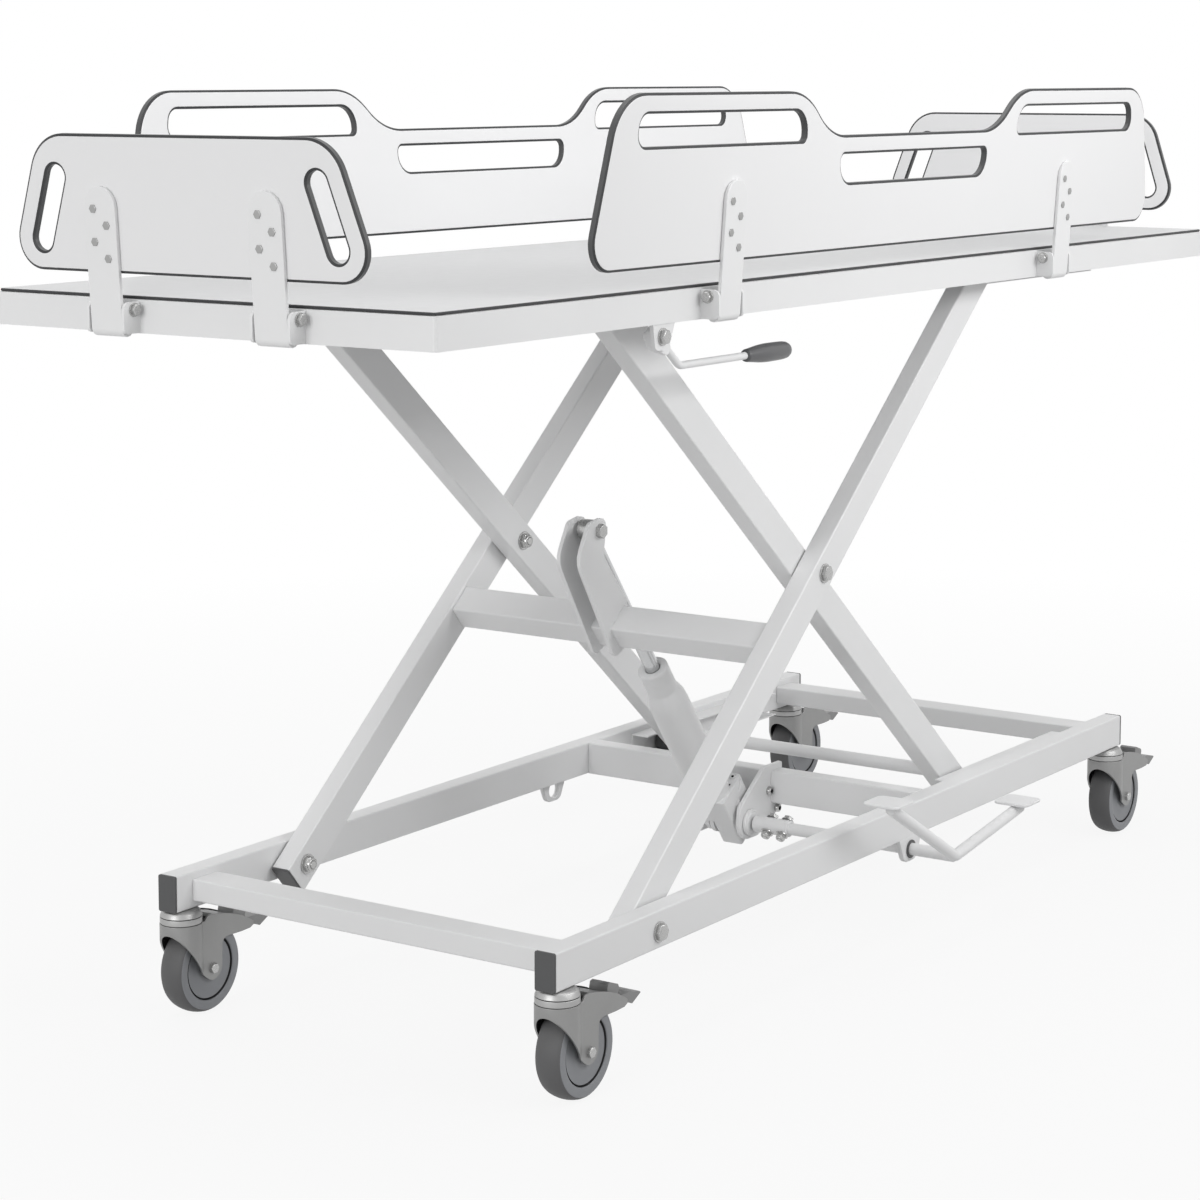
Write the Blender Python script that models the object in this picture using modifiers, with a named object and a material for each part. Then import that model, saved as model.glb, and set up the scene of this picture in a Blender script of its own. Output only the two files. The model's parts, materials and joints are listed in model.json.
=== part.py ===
"""Shower trolley: a guarded table on a scissor lift with a hydraulic foot pump and four braked casters.

Metres. X runs along the trolley, Y across it with the pedal side at -Y, Z up from the floor.
The table is modelled at the top of its travel with all four guards upright.
"""
import math

import bmesh
import bpy
from mathutils import Matrix, Vector

# Base frame
RAIL_LENGTH = 1.635
BASE_WIDTH = 0.646
TUBE_DEEP = 0.050
TUBE_THIN = 0.030
TUBE_WALL = 0.003
TUBE_RADIUS = 0.0025
RAIL_BOTTOM = 0.150
CAP_FLANGE = 0.004
CAP_SPIGOT = 0.008
ARM_PLUG_FLANGE = 0.003
END_TUBE_INSET = 0.0595
PUMP_TUBE_X = 0.165
GAP = 0.0003

# Scissor lift, at the top of its travel
PIVOT_X = -0.585
PIVOT_Z = 0.172
CENTRE_X = -0.114
CENTRE_Z = 0.566
ARM_TO_RAIL = 0.003
ARM_GAP = 0.002
ARM_TAIL = 0.030
ARM_TOP_END = 0.012
BOLT_RADIUS = 0.007
BOLT_PLAY = 0.0003
HEX_RADIUS = 0.0125
WASHER_RADIUS = 0.0145
TIE_BAR_RADIUS = 0.010
TIE_BAR_OFFSET = 0.025
LEVER_BAR_OFFSET = -0.137
LEVER_BAR_WIDE = 0.046
LEVER_BAR_DEEP = 0.040
LEVER_PLATE = 0.006
LEVER_GAP = 0.028

# Slide blocks and their channels
SLIDE_LENGTH = 0.040
LOWER_SLIDE_HIGH = 0.032
UPPER_SLIDE_HIGH = 0.020
SLIDE_PLAY = 0.0004
CHANNEL_WALL = 0.0025
CHANNEL_ROOM = 0.055
CHANNEL_START = 0.275
UPPER_CHANNEL_START = 0.290
CHANNEL_END = 0.680
STUB_RADIUS = 0.005

# Hydraulic pump, ram pin and foot pedal
TRUNNION_X = 0.087
TRUNNION_Z = 0.133
RAM_PIN_X = -0.277
RAM_PIN_Z = 0.623
RAM_PIN_RADIUS = 0.006
EYE_RADIUS = 0.0175
EYE_PLAY = 0.0045
ROD_RADIUS = 0.011
ROD_PLAY = 0.0006
PUMP_TOP = 0.331
RESERVOIR_RADIUS = 0.030
GLAND_RADIUS = 0.023
BLOCK_NEAR = 0.034
BLOCK_FAR = 0.031
BLOCK_BACK = 0.040
BLOCK_FRONT = 0.022
BLOCK_FOOT = 0.031
BLOCK_STEP = 0.018
BLOCK_TOP = 0.062
BRACKET_Y = 0.0425
BRACKET_THICK = 0.008
TRUNNION_RADIUS = 0.015
PEDAL_SHAFT_RADIUS = 0.009
SLEEVE_RADIUS = 0.0125
SLEEVE_LENGTH = 0.060
PEDAL_OUT = 0.072
PEDAL_LEFT_ARM = 0.222
PEDAL_LEFT_ANGLE = 150.5
PEDAL_RIGHT_ARM = 0.212
PEDAL_RIGHT_ANGLE = 8.0
PEDAL_BAR_RADIUS = 0.0085
FOOT_PLATE = 0.056

# Casters
CASTER_INSET = 0.0275
SWIVEL_RADIUS = 0.029
STEM_RADIUS = 0.011
CASTER_TRAIL = 0.036
WHEEL_RADIUS = 0.0625
WHEEL_WIDTH = 0.038
HUB_PROUD = 0.0012
FORK_WALL = 0.003
FORK_HALF = 0.024
FORK_REACH = 0.123
AXLE_RADIUS = 0.005

# Table and guards
TABLE_LENGTH = 2.150
TABLE_WIDTH = 0.690
PIVOT_UNDER_TOP = 0.033
SKIRT_HIGH = 0.040
SHEET = 0.003
FLANGE = 0.040
BOARD_THICK = 0.004
BOARD_INSET = 0.006
RIB_X = (-0.300, 0.100)
GUARD_LEAN = 4.0
GUARD_THICK = 0.010
GUARD_CENTRE_X = -0.020
LONG_GUARD_FOOT = 1.5912
LONG_GUARD_TOP = 1.491
LONG_GUARD_HIGH = 0.213
DIP_TOP = 0.620
DIP_FOOT = 0.480
DIP_DEEP = 0.059
DIP_BEND = 0.110
GUARD_FOOT_BEND = 0.038
GUARD_TOP_BEND = 0.068
HAND_SLOT_START = 0.307
HAND_SLOT_END = 0.7005
HAND_SLOT_SLOPE = 0.0035
HAND_SLOT_LOW = 0.148
HAND_SLOT_HIGH = 0.040
MIDDLE_SLOT = 0.420
MIDDLE_SLOT_LOW = 0.090
MIDDLE_SLOT_HIGH = 0.039
END_GUARD_FOOT = 0.5714
END_GUARD_TOP = 0.4568
END_GUARD_HIGH = 0.165
END_GUARD_TOP_BEND = 0.056
END_SLOT_RADIUS = 0.015
END_SLOT_FOOT = (0.2285, 0.038)
END_SLOT_TOP = (0.2025, 0.113)
HINGE_OUT = 0.016
HINGE_UP = 0.006
HINGE_PIN_RADIUS = 0.004
STRAP_WIDTH = 0.050
STRAP_THICK = 0.005
STRAP_TOP = 0.171
STRAP_PLAY = 0.0006
LONG_STRAP = 0.4775
END_STRAP = 0.128
GUARD_FOOT = 0.067
EAR_THICK = 0.004
EAR_DEEP = 0.028
LOCK_BOLT_RADIUS = 0.004
LOCK_BOLT_DOWN = 0.011
LOCK_BOLT_OUT = 0.011

# Release lever
LEVER_X = -0.612
LEVER_DOWN = 0.016
LEVER_ROD_RADIUS = 0.005
LEVER_DROP = 0.041
LEVER_ELBOW = 0.055
LEVER_REACH = 0.214
GRIP_LENGTH = 0.107
GRIP_RADIUS = 0.0125

SMOOTH_ANGLE = 40
WELD_DISTANCE = 1e-6
FLAT_ANGLE = 1e-3
BEND_STEPS = 5
SIDES = (("near", -1), ("far", 1))
ENDS = (("left", -1), ("right", 1))
X_AXIS, Y_AXIS, Z_AXIS = Vector((1, 0, 0)), Vector((0, 1, 0)), Vector((0, 0, 1))

for old in list(bpy.data.objects):
    bpy.data.objects.remove(old, do_unlink=True)
PARTS = bpy.data.collections.new("shower_trolley")
TOOLS = bpy.data.collections.new("cutters_and_welds")
for group in (PARTS, TOOLS):
    bpy.context.scene.collection.children.link(group)


def material(name, colour, metallic, roughness):
    made = bpy.data.materials.new(name)
    made.use_nodes = True
    shader = made.node_tree.nodes["Principled BSDF"]
    shader.inputs["Base Color"].default_value = (*colour, 1.0)
    shader.inputs["Metallic"].default_value = metallic
    shader.inputs["Roughness"].default_value = roughness
    return made


WHITE = material("white_powder_coat", (0.78, 0.79, 0.80), 0.0, 0.42)
LAMINATE = material("white_laminate", (0.86, 0.86, 0.86), 0.0, 0.35)
BOARD = material("grey_laminate", (0.62, 0.63, 0.64), 0.0, 0.45)
DARK = material("dark_plastic", (0.07, 0.07, 0.075), 0.0, 0.50)
ZINC = material("zinc_plate", (0.50, 0.50, 0.50), 0.9, 0.38)
TYRE = material("grey_tyre", (0.14, 0.145, 0.15), 0.0, 0.60)
CHROME = material("chrome_rod", (0.75, 0.76, 0.78), 1.0, 0.12)


def frame(origin, x_axis, y_axis):
    """Matrix whose local Z is x_axis cross y_axis."""
    x_axis, y_axis = Vector(x_axis).normalized(), Vector(y_axis).normalized()
    made = Matrix((x_axis, y_axis, x_axis.cross(y_axis))).transposed().to_4x4()
    made.translation = Vector(origin)
    return made


def add(name, bm, finish):
    """Object from a finished bmesh, shaded smooth up to its real edges."""
    bmesh.ops.recalc_face_normals(bm, faces=bm.faces)
    if bm.calc_volume(signed=True) < 0:
        bmesh.ops.reverse_faces(bm, faces=bm.faces)
    mesh = bpy.data.meshes.new(name)
    bm.to_mesh(mesh)
    bm.free()
    mesh.shade_smooth()
    mesh.set_sharp_from_angle(angle=math.radians(SMOOTH_ANGLE))
    mesh.materials.append(finish)
    made = bpy.data.objects.new(name, mesh)
    PARTS.objects.link(made)
    return made


def frozen(name, drawn, place, finish):
    """Mesh object from a drawn curve or a lathed profile, seams welded and flats merged, put at place."""
    TOOLS.objects.link(drawn)
    done = drawn.evaluated_get(bpy.context.evaluated_depsgraph_get())
    bm = bmesh.new()
    bm.from_mesh(bpy.data.meshes.new_from_object(done))
    bpy.data.objects.remove(drawn, do_unlink=True)
    bmesh.ops.remove_doubles(bm, verts=bm.verts, dist=WELD_DISTANCE)
    bmesh.ops.dissolve_limit(bm, angle_limit=FLAT_ANGLE, verts=bm.verts, edges=bm.edges)
    bm.transform(place)
    return add(name, bm, finish)


def draw(name, paths, closed):
    """Curve object with one straight-segment spline for each path."""
    curve = bpy.data.curves.new(name, "CURVE")
    for path in paths:
        spline = curve.splines.new("POLY")
        spline.points.add(len(path) - 1)
        for point, where in zip(spline.points, path):
            point.co = (*Vector(where).to_3d(), 1)
        spline.use_cyclic_u = closed
    return bpy.data.objects.new(name + "_drawing", curve)


def prism(name, outline, place, depth, finish=WHITE, holes=()):
    """Flat outline in the local XY plane, less its holes, pushed along local Z."""
    drawn = draw(name, [outline, *holes], True)
    drawn.data.dimensions, drawn.data.fill_mode, drawn.data.extrude = "2D", "BOTH", depth / 2
    return frozen(name, drawn, place @ Matrix.Translation((0, 0, depth / 2)), finish)


def revolve(name, profile, place, finish, steps=16, closed=False):
    """Lathe a (radius, height) profile about local Z."""
    bm = bmesh.new()
    points = [bm.verts.new((radius, 0, height)) for radius, height in profile]
    for start, end in zip(points, points[1:] + points[:1] if closed else points[1:]):
        bm.edges.new((start, end))
    mesh = bpy.data.meshes.new(name)
    bm.to_mesh(mesh)
    bm.free()
    turned = bpy.data.objects.new(name + "_profile", mesh)
    screw = turned.modifiers.new("Turn", "SCREW")
    screw.steps = screw.render_steps = steps
    screw.use_merge_vertices, screw.merge_threshold = True, WELD_DISTANCE
    return frozen(name, turned, place, finish)


def fillet(corners, steps=5):
    """Outline from (u, v, radius) corners."""
    points = []
    for i, (u, v, radius) in enumerate(corners):
        here = Vector((u, v))
        back = (Vector(corners[i - 1][:2]) - here).normalized()
        ahead = (Vector(corners[(i + 1) % len(corners)][:2]) - here).normalized()
        half = back.angle(ahead) / 2
        if radius == 0 or abs(half - math.pi / 2) < 1e-4:
            points.append((u, v))
            continue
        centre = here + (back + ahead).normalized() * radius / math.sin(half)
        start = here + back * radius / math.tan(half) - centre
        sweep = start.angle_signed(here + ahead * radius / math.tan(half) - centre)
        for k in range(steps + 1):
            points.append(tuple(centre + Matrix.Rotation(-sweep * k / steps, 2) @ start))
    return points


def circle(radius, steps=16, centre=(0, 0)):
    return [(centre[0] + radius * math.cos(2 * math.pi * i / steps),
             centre[1] + radius * math.sin(2 * math.pi * i / steps)) for i in range(steps)]


def block_outline(u0, u1, v0, v1, radius=0.0, steps=2):
    return fillet([(u0, v0, radius), (u1, v0, radius), (u1, v1, radius), (u0, v1, radius)], steps)


def side_plate(name, outline, y0, y1, finish=WHITE):
    """Solid from an XZ outline between two Y planes."""
    y0, y1 = min(y0, y1), max(y0, y1)
    return prism(name, outline, frame((0, y1, 0), X_AXIS, Z_AXIS), y1 - y0, finish)


def box(name, x0, x1, y0, y1, z0, z1, finish=WHITE):
    bm = bmesh.new()
    middle = Matrix.Translation(((x0 + x1) / 2, (y0 + y1) / 2, (z0 + z1) / 2))
    bmesh.ops.create_cube(bm, size=1, matrix=middle @ Matrix.Diagonal((x1 - x0, abs(y1 - y0), z1 - z0, 1)))
    return add(name, bm, finish)


def pin(name, x, z, y0, y1, radius, finish=ZINC, steps=12):
    """Round bar along Y, or a hexagon head with six steps."""
    bm = bmesh.new()
    bmesh.ops.create_cone(bm, cap_ends=True, segments=steps, radius1=radius, radius2=radius,
                          depth=abs(y1 - y0), matrix=frame((x, (y0 + y1) / 2, z), X_AXIS, Z_AXIS))
    return add(name, bm, finish)


def hex_head(name, x, z, y0, y1, radius):
    return pin(name, x, z, y0, y1, radius, steps=6)


def square_tube(name, place, length, wide, high, finish=WHITE):
    """Rounded box tube along local Z, centred on the local origin."""
    outer = block_outline(-wide / 2, wide / 2, -high / 2, high / 2, TUBE_RADIUS)
    u, v = wide / 2 - TUBE_WALL, high / 2 - TUBE_WALL
    return prism(name, outer, place, length, finish, [block_outline(-u, u, -v, v)])


def bent_bar(name, corners, radius, bend, finish):
    """Round bar through 3-D corner points with rounded bends."""
    path = [Vector(corners[0])]
    for before, here, after in zip(corners, corners[1:], corners[2:]):
        here = Vector(here)
        a, b = (Vector(before) - here).normalized(), (Vector(after) - here).normalized()
        reach = bend / math.tan(a.angle(b) / 2)
        for k in range(BEND_STEPS + 1):
            t = k / BEND_STEPS
            path.append(here + a * reach * (1 - t) ** 2 + b * reach * t ** 2)
    path.append(Vector(corners[-1]))
    drawn = draw(name, [path], False)
    drawn.data.dimensions, drawn.data.bevel_depth, drawn.data.bevel_resolution = "3D", radius, 2
    drawn.data.use_fill_caps = True
    return frozen(name, drawn, Matrix(), finish)


def combine(target, tools, operation):
    for tool in tools:
        PARTS.objects.unlink(tool)
        TOOLS.objects.link(tool)
        tool.name = f"{target.name}_{operation.lower()}_{len(target.modifiers):02d}"
        tool.hide_render, tool.display_type = True, "WIRE"
        step = target.modifiers.new(operation.title(), "BOOLEAN")
        step.operation, step.object, step.solver = operation, tool, "EXACT"
    return target


def weld(target, *tools):
    return combine(target, tools, "UNION")


def cut(target, *tools):
    return combine(target, tools, "DIFFERENCE")


def turn_about(made, x, y, z):
    """Put the object's origin on its joint axis."""
    made.data.transform(Matrix.Translation((-x, -y, -z)))
    made.location = (x, y, z)
    return made


RAIL_Y = (BASE_WIDTH - TUBE_THIN) / 2
RAIL_INNER = RAIL_Y - TUBE_THIN / 2
RAIL_OUTER = RAIL_Y + TUBE_THIN / 2
RAIL_Z = RAIL_BOTTOM + TUBE_DEEP / 2
RAIL_TOP = RAIL_BOTTOM + TUBE_DEEP
END_TUBE_X = RAIL_LENGTH / 2 - END_TUBE_INSET
CASTER_X = RAIL_LENGTH / 2 - CASTER_INSET
PEDAL_Y = -RAIL_OUTER - PEDAL_OUT
HALF_LENGTH, HALF_WIDTH = TABLE_LENGTH / 2, TABLE_WIDTH / 2
OUTER_ARM_Y = min(RAIL_INNER - ARM_TO_RAIL, HALF_WIDTH - CHANNEL_ROOM) - TUBE_THIN / 2
INNER_ARM_Y = OUTER_ARM_Y - TUBE_THIN - ARM_GAP
HALF_ARM = math.hypot(CENTRE_X - PIVOT_X, CENTRE_Z - PIVOT_Z)
ALONG = Vector((CENTRE_X - PIVOT_X, 0, CENTRE_Z - PIVOT_Z)).normalized()
SLIDE_X = 2 * CENTRE_X - PIVOT_X
UPPER_Z = 2 * CENTRE_Z - PIVOT_Z
SKIRT_TOP = UPPER_Z + PIVOT_UNDER_TOP
SKIRT_BOTTOM = SKIRT_TOP - SKIRT_HIGH
LEVER_Z = SKIRT_BOTTOM - LEVER_DOWN
HINGE_Z = SKIRT_BOTTOM + HINGE_UP
TRUNNION = Vector((TRUNNION_X, 0, TRUNNION_Z))
RAM_PIN = Vector((RAM_PIN_X, 0, RAM_PIN_Z))
RAM_AXIS = (RAM_PIN - TRUNNION).normalized()
RAM_LENGTH = (RAM_PIN - TRUNNION).length


def rails():
    """Base rails with the lower slide channel and the pedal lug welded on."""
    length = RAIL_LENGTH - 2 * CAP_FLANGE
    for name, side in SIDES:
        place = frame((-length / 2, side * RAIL_Y, RAIL_Z), Y_AXIS, Z_AXIS)
        rail = square_tube(f"{name}_rail", place, length, TUBE_THIN, TUBE_DEEP)
        inner_half = LOWER_SLIDE_HIGH / 2 + SLIDE_PLAY
        outer_half = inner_half + CHANNEL_WALL
        root, lip = RAIL_INNER + 0.001, INNER_ARM_Y + TUBE_THIN / 2 + 0.004
        web = RAIL_INNER - CHANNEL_WALL
        section = [(root, -outer_half), (lip, -outer_half), (lip, -inner_half), (web, -inner_half),
                   (web, inner_half), (lip, inner_half), (lip, outer_half), (root, outer_half)]
        channel = prism("channel", [(side * u, v) for u, v in section],
                        frame((CHANNEL_START, 0, PIVOT_Z), Y_AXIS, Z_AXIS), CHANNEL_END - CHANNEL_START)
        drop = RAIL_BOTTOM + TUBE_WALL * 0.6
        lug = side_plate("lug", fillet([
            (TRUNNION_X - 0.034, drop, 0), (TRUNNION_X - 0.018, TRUNNION_Z - 0.018, 0.016),
            (TRUNNION_X + 0.018, TRUNNION_Z - 0.018, 0.016), (TRUNNION_X + 0.034, drop, 0)]),
            side * RAIL_OUTER, side * (RAIL_OUTER - 0.008))
        weld(rail, channel, lug)
        hole = PEDAL_SHAFT_RADIUS + (0.0004 if side < 0 else 0.0035)
        inside, outside = side * (RAIL_INNER - 0.01), side * (RAIL_OUTER + 0.01)
        cut(rail, pin("shaft_hole", TRUNNION_X, TRUNNION_Z, inside, outside, hole, steps=20),
            pin("pivot_hole", PIVOT_X, PIVOT_Z, inside, outside, BOLT_RADIUS + BOLT_PLAY))
        for _, end in ENDS:
            foot = frame((end * CASTER_X, side * RAIL_Y, RAIL_BOTTOM - 0.01), X_AXIS, Y_AXIS)
            cut(rail, prism("stem_hole", circle(STEM_RADIUS + 0.0005), foot, 0.02))


def tube_plug(name, place, flange):
    """Moulded end plug of a tube: a flange outside and a spigot inside."""
    half_u, half_v, shy = TUBE_THIN / 2, TUBE_DEEP / 2, TUBE_WALL + GAP
    plug = prism(name, block_outline(-half_u, half_u, -half_v, half_v, TUBE_RADIUS), place, flange, DARK)
    spigot = block_outline(-half_u + shy, half_u - shy, -half_v + shy, half_v - shy)
    inside = place @ Matrix.Translation((0, 0, -CAP_SPIGOT))
    return weld(plug, prism("spigot", spigot, inside, CAP_SPIGOT + flange / 2, DARK))


def rail_caps():
    for name, side in SIDES:
        for end_name, end in ENDS:
            seat = Vector((end * (RAIL_LENGTH / 2 - CAP_FLANGE + GAP), side * RAIL_Y, RAIL_Z))
            tube_plug(f"{name}_{end_name}_rail_cap", frame(seat, Y_AXIS, end * Z_AXIS), CAP_FLANGE - GAP)


def bracket_outline():
    """Pump bracket: a disc round the trunnion joined to a fork over the pump cross tube."""
    near, far = PUMP_TUBE_X - TUBE_THIN / 2, PUMP_TUBE_X + TUBE_THIN / 2
    return fillet([
        (TRUNNION_X - 0.025, TRUNNION_Z + 0.026, 0.024), (TRUNNION_X - 0.027, TRUNNION_Z - 0.026, 0.026),
        (TRUNNION_X + 0.028, TRUNNION_Z - 0.026, 0.022), (far + 0.004, RAIL_BOTTOM - 0.010, 0.004),
        (far + 0.004, RAIL_BOTTOM + 0.002, 0), (near + 0.002, RAIL_BOTTOM + 0.002, 0),
        (near + 0.002, RAIL_TOP - 0.002, 0), (far + 0.004, RAIL_TOP - 0.002, 0),
        (far + 0.004, RAIL_TOP + 0.009, 0.003), (near - 0.018, RAIL_TOP + 0.009, 0.006)], 3)


def cross_tubes():
    reach = RAIL_INNER - GAP
    for name, end in ENDS:
        place = frame((end * END_TUBE_X, reach, RAIL_Z), X_AXIS, Z_AXIS)
        square_tube(f"{name}_cross_tube", place, 2 * reach, TUBE_DEEP, TUBE_THIN)
    pump_tube = square_tube("pump_cross_tube", frame((PUMP_TUBE_X, reach, RAIL_Z), X_AXIS, Z_AXIS),
                            2 * reach, TUBE_THIN, TUBE_DEEP)
    for _, side in SIDES:
        y0, y1 = side * (BRACKET_Y - BRACKET_THICK / 2), side * (BRACKET_Y + BRACKET_THICK / 2)
        weld(pump_tube, side_plate("bracket", bracket_outline(), y0, y1))
    cut(pump_tube, pin("trunnion_hole", TRUNNION_X, TRUNNION_Z, -BRACKET_Y - 0.02, BRACKET_Y + 0.02,
                       TRUNNION_RADIUS + BOLT_PLAY, steps=20))


def pivot_bolts():
    """Lower pivot bolts clamp the outer arms to the rails; centre bolts join the two arm pairs."""
    for name, side in SIDES:
        head, nut = RAIL_OUTER + GAP, OUTER_ARM_Y - TUBE_THIN / 2 - GAP
        bolt = pin(f"{name}_lower_pivot_bolt", PIVOT_X, PIVOT_Z,
                   side * (nut - 0.010), side * (head + 0.004), BOLT_RADIUS)
        weld(bolt, hex_head("head", PIVOT_X, PIVOT_Z, side * head, side * (head + 0.008), HEX_RADIUS),
             pin("nut_washer", PIVOT_X, PIVOT_Z, side * nut, side * (nut - 0.002), WASHER_RADIUS),
             hex_head("nut", PIVOT_X, PIVOT_Z, side * (nut - 0.0015), side * (nut - 0.012), HEX_RADIUS))
        turn_about(bolt, PIVOT_X, side * RAIL_Y, PIVOT_Z)
    for name, side in SIDES:
        head, nut = OUTER_ARM_Y + TUBE_THIN / 2 + GAP, INNER_ARM_Y - TUBE_THIN / 2 - GAP
        bolt = pin(f"{name}_centre_bolt", CENTRE_X, CENTRE_Z,
                   side * (nut - 0.010), side * (head + 0.004), BOLT_RADIUS)
        weld(bolt, hex_head("head", CENTRE_X, CENTRE_Z, side * head, side * (head + 0.008), HEX_RADIUS),
             hex_head("nut", CENTRE_X, CENTRE_Z, side * nut, side * (nut - 0.011), HEX_RADIUS))
        turn_about(bolt, CENTRE_X, side * OUTER_ARM_Y, CENTRE_Z)


def arm(name, start, direction, y, tail, top, stub_at, stub_y):
    """Scissor arm with a bored pivot at its start and centre and a welded slide stub at its far end."""
    normal = direction.cross(Y_AXIS)
    tube = square_tube(name, frame(start - direction * tail + Y_AXIS * y, Y_AXIS, normal),
                       2 * HALF_ARM + tail + top, TUBE_THIN, TUBE_DEEP)
    end = start + direction * 2 * HALF_ARM
    weld(tube, pin("stub", end.x, end.z, stub_at, stub_y, STUB_RADIUS))
    for where in (start, start + direction * HALF_ARM):
        cut(tube, pin("bore", where.x, where.z, y - TUBE_THIN, y + TUBE_THIN, BOLT_RADIUS + BOLT_PLAY))
    return tube


def outer_arms():
    """Arms that pivot on the base at the left and slide under the table at the right."""
    start = Vector((PIVOT_X, 0, PIVOT_Z))
    slide_y = OUTER_ARM_Y + TUBE_THIN / 2
    for name, side in SIDES:
        tube = arm(f"{name}_outer_arm", start, ALONG, side * OUTER_ARM_Y, ARM_TAIL, ARM_TOP_END,
                   side * (slide_y - TUBE_WALL * 0.5), side * (slide_y + 0.023))
        turn_about(tube, PIVOT_X, side * OUTER_ARM_Y, PIVOT_Z)
        foot = start - ALONG * (ARM_TAIL + GAP) + Y_AXIS * side * OUTER_ARM_Y
        plug = tube_plug(f"{name}_arm_plug", frame(foot, Y_AXIS, Y_AXIS.cross(ALONG)), ARM_PLUG_FLANGE)
        turn_about(plug, PIVOT_X, side * OUTER_ARM_Y, PIVOT_Z)


def lever_plate_outline():
    """Dog-leg plate from the ram pin down to the lever crossbar."""
    x, z = RAM_PIN_X, RAM_PIN_Z
    return fillet([
        (x - 0.024, z + 0.013, 0.012), (x + 0.0215, z + 0.021, 0.014), (x + 0.011, z - 0.036, 0.020),
        (x + 0.069, z - 0.107, 0.004), (x + 0.075, z - 0.172, 0.010), (x + 0.040, z - 0.188, 0.010),
        (x - 0.052, z - 0.038, 0.030)], 3)


def lever_crossbar():
    """Crossbar between the outer arms with the two lever plates and the pin that the ram pushes."""
    centre = Vector((CENTRE_X, 0, CENTRE_Z)) + ALONG * LEVER_BAR_OFFSET
    reach = OUTER_ARM_Y - TUBE_THIN / 2 - GAP
    place = frame(centre + Y_AXIS * reach, ALONG, ALONG.cross(Y_AXIS))
    bar = square_tube("lever_crossbar", place, 2 * reach, LEVER_BAR_WIDE, LEVER_BAR_DEEP)
    inner, outer = LEVER_GAP / 2, LEVER_GAP / 2 + LEVER_PLATE
    for _, side in SIDES:
        weld(bar, side_plate("plate", lever_plate_outline(), side * inner, side * outer))
    weld(bar, pin("ram_pin", RAM_PIN_X, RAM_PIN_Z, -outer - 0.006, outer + 0.006, RAM_PIN_RADIUS),
         hex_head("pin_head", RAM_PIN_X, RAM_PIN_Z, -outer + 0.001, -outer - 0.008, 0.0105),
         hex_head("pin_nut", RAM_PIN_X, RAM_PIN_Z, outer - 0.001, outer + 0.010, 0.0105))
    turn_about(bar, PIVOT_X, 0, PIVOT_Z)


def inner_arms():
    """Arms that pivot under the table at the left and slide in the base at the right."""
    start = Vector((PIVOT_X, 0, UPPER_Z))
    down = Vector((ALONG.x, 0, -ALONG.z))
    slide_y = INNER_ARM_Y + TUBE_THIN / 2
    for name, side in SIDES:
        tube = arm(f"{name}_inner_arm", start, down, side * INNER_ARM_Y, ARM_TOP_END, ARM_TAIL,
                   side * (slide_y - TUBE_WALL * 0.5), side * (slide_y + 0.027))
        turn_about(tube, CENTRE_X, side * INNER_ARM_Y, CENTRE_Z)
    end = start + down * (2 * HALF_ARM - TIE_BAR_OFFSET)
    reach = INNER_ARM_Y - TUBE_THIN / 2 - GAP
    bar = pin("tie_bar", end.x, end.z, -reach, reach, TIE_BAR_RADIUS, WHITE, 20)
    turn_about(bar, CENTRE_X, 0, CENTRE_Z)


def slide_block(name, z, y0, y1, high):
    half = SLIDE_LENGTH / 2
    outline = block_outline(SLIDE_X - half, SLIDE_X + half, z - high / 2, z + high / 2, 0.004)
    made = side_plate(name, outline, y0, y1, DARK)
    cut(made, pin("bore", SLIDE_X, z, y0 - 0.05, y0 + 0.05, STUB_RADIUS + BOLT_PLAY))
    turn_about(made, SLIDE_X, (y0 + y1) / 2, z)


def slide_blocks():
    for name, side in SIDES:
        lower = INNER_ARM_Y + TUBE_THIN / 2
        slide_block(f"{name}_lower_slide", PIVOT_Z, side * (lower + 0.005), side * (lower + 0.029),
                    LOWER_SLIDE_HIGH)
        upper = OUTER_ARM_Y + TUBE_THIN / 2
        slide_block(f"{name}_upper_slide", UPPER_Z, side * (upper + 0.003), side * (upper + 0.024),
                    UPPER_SLIDE_HIGH)


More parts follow.
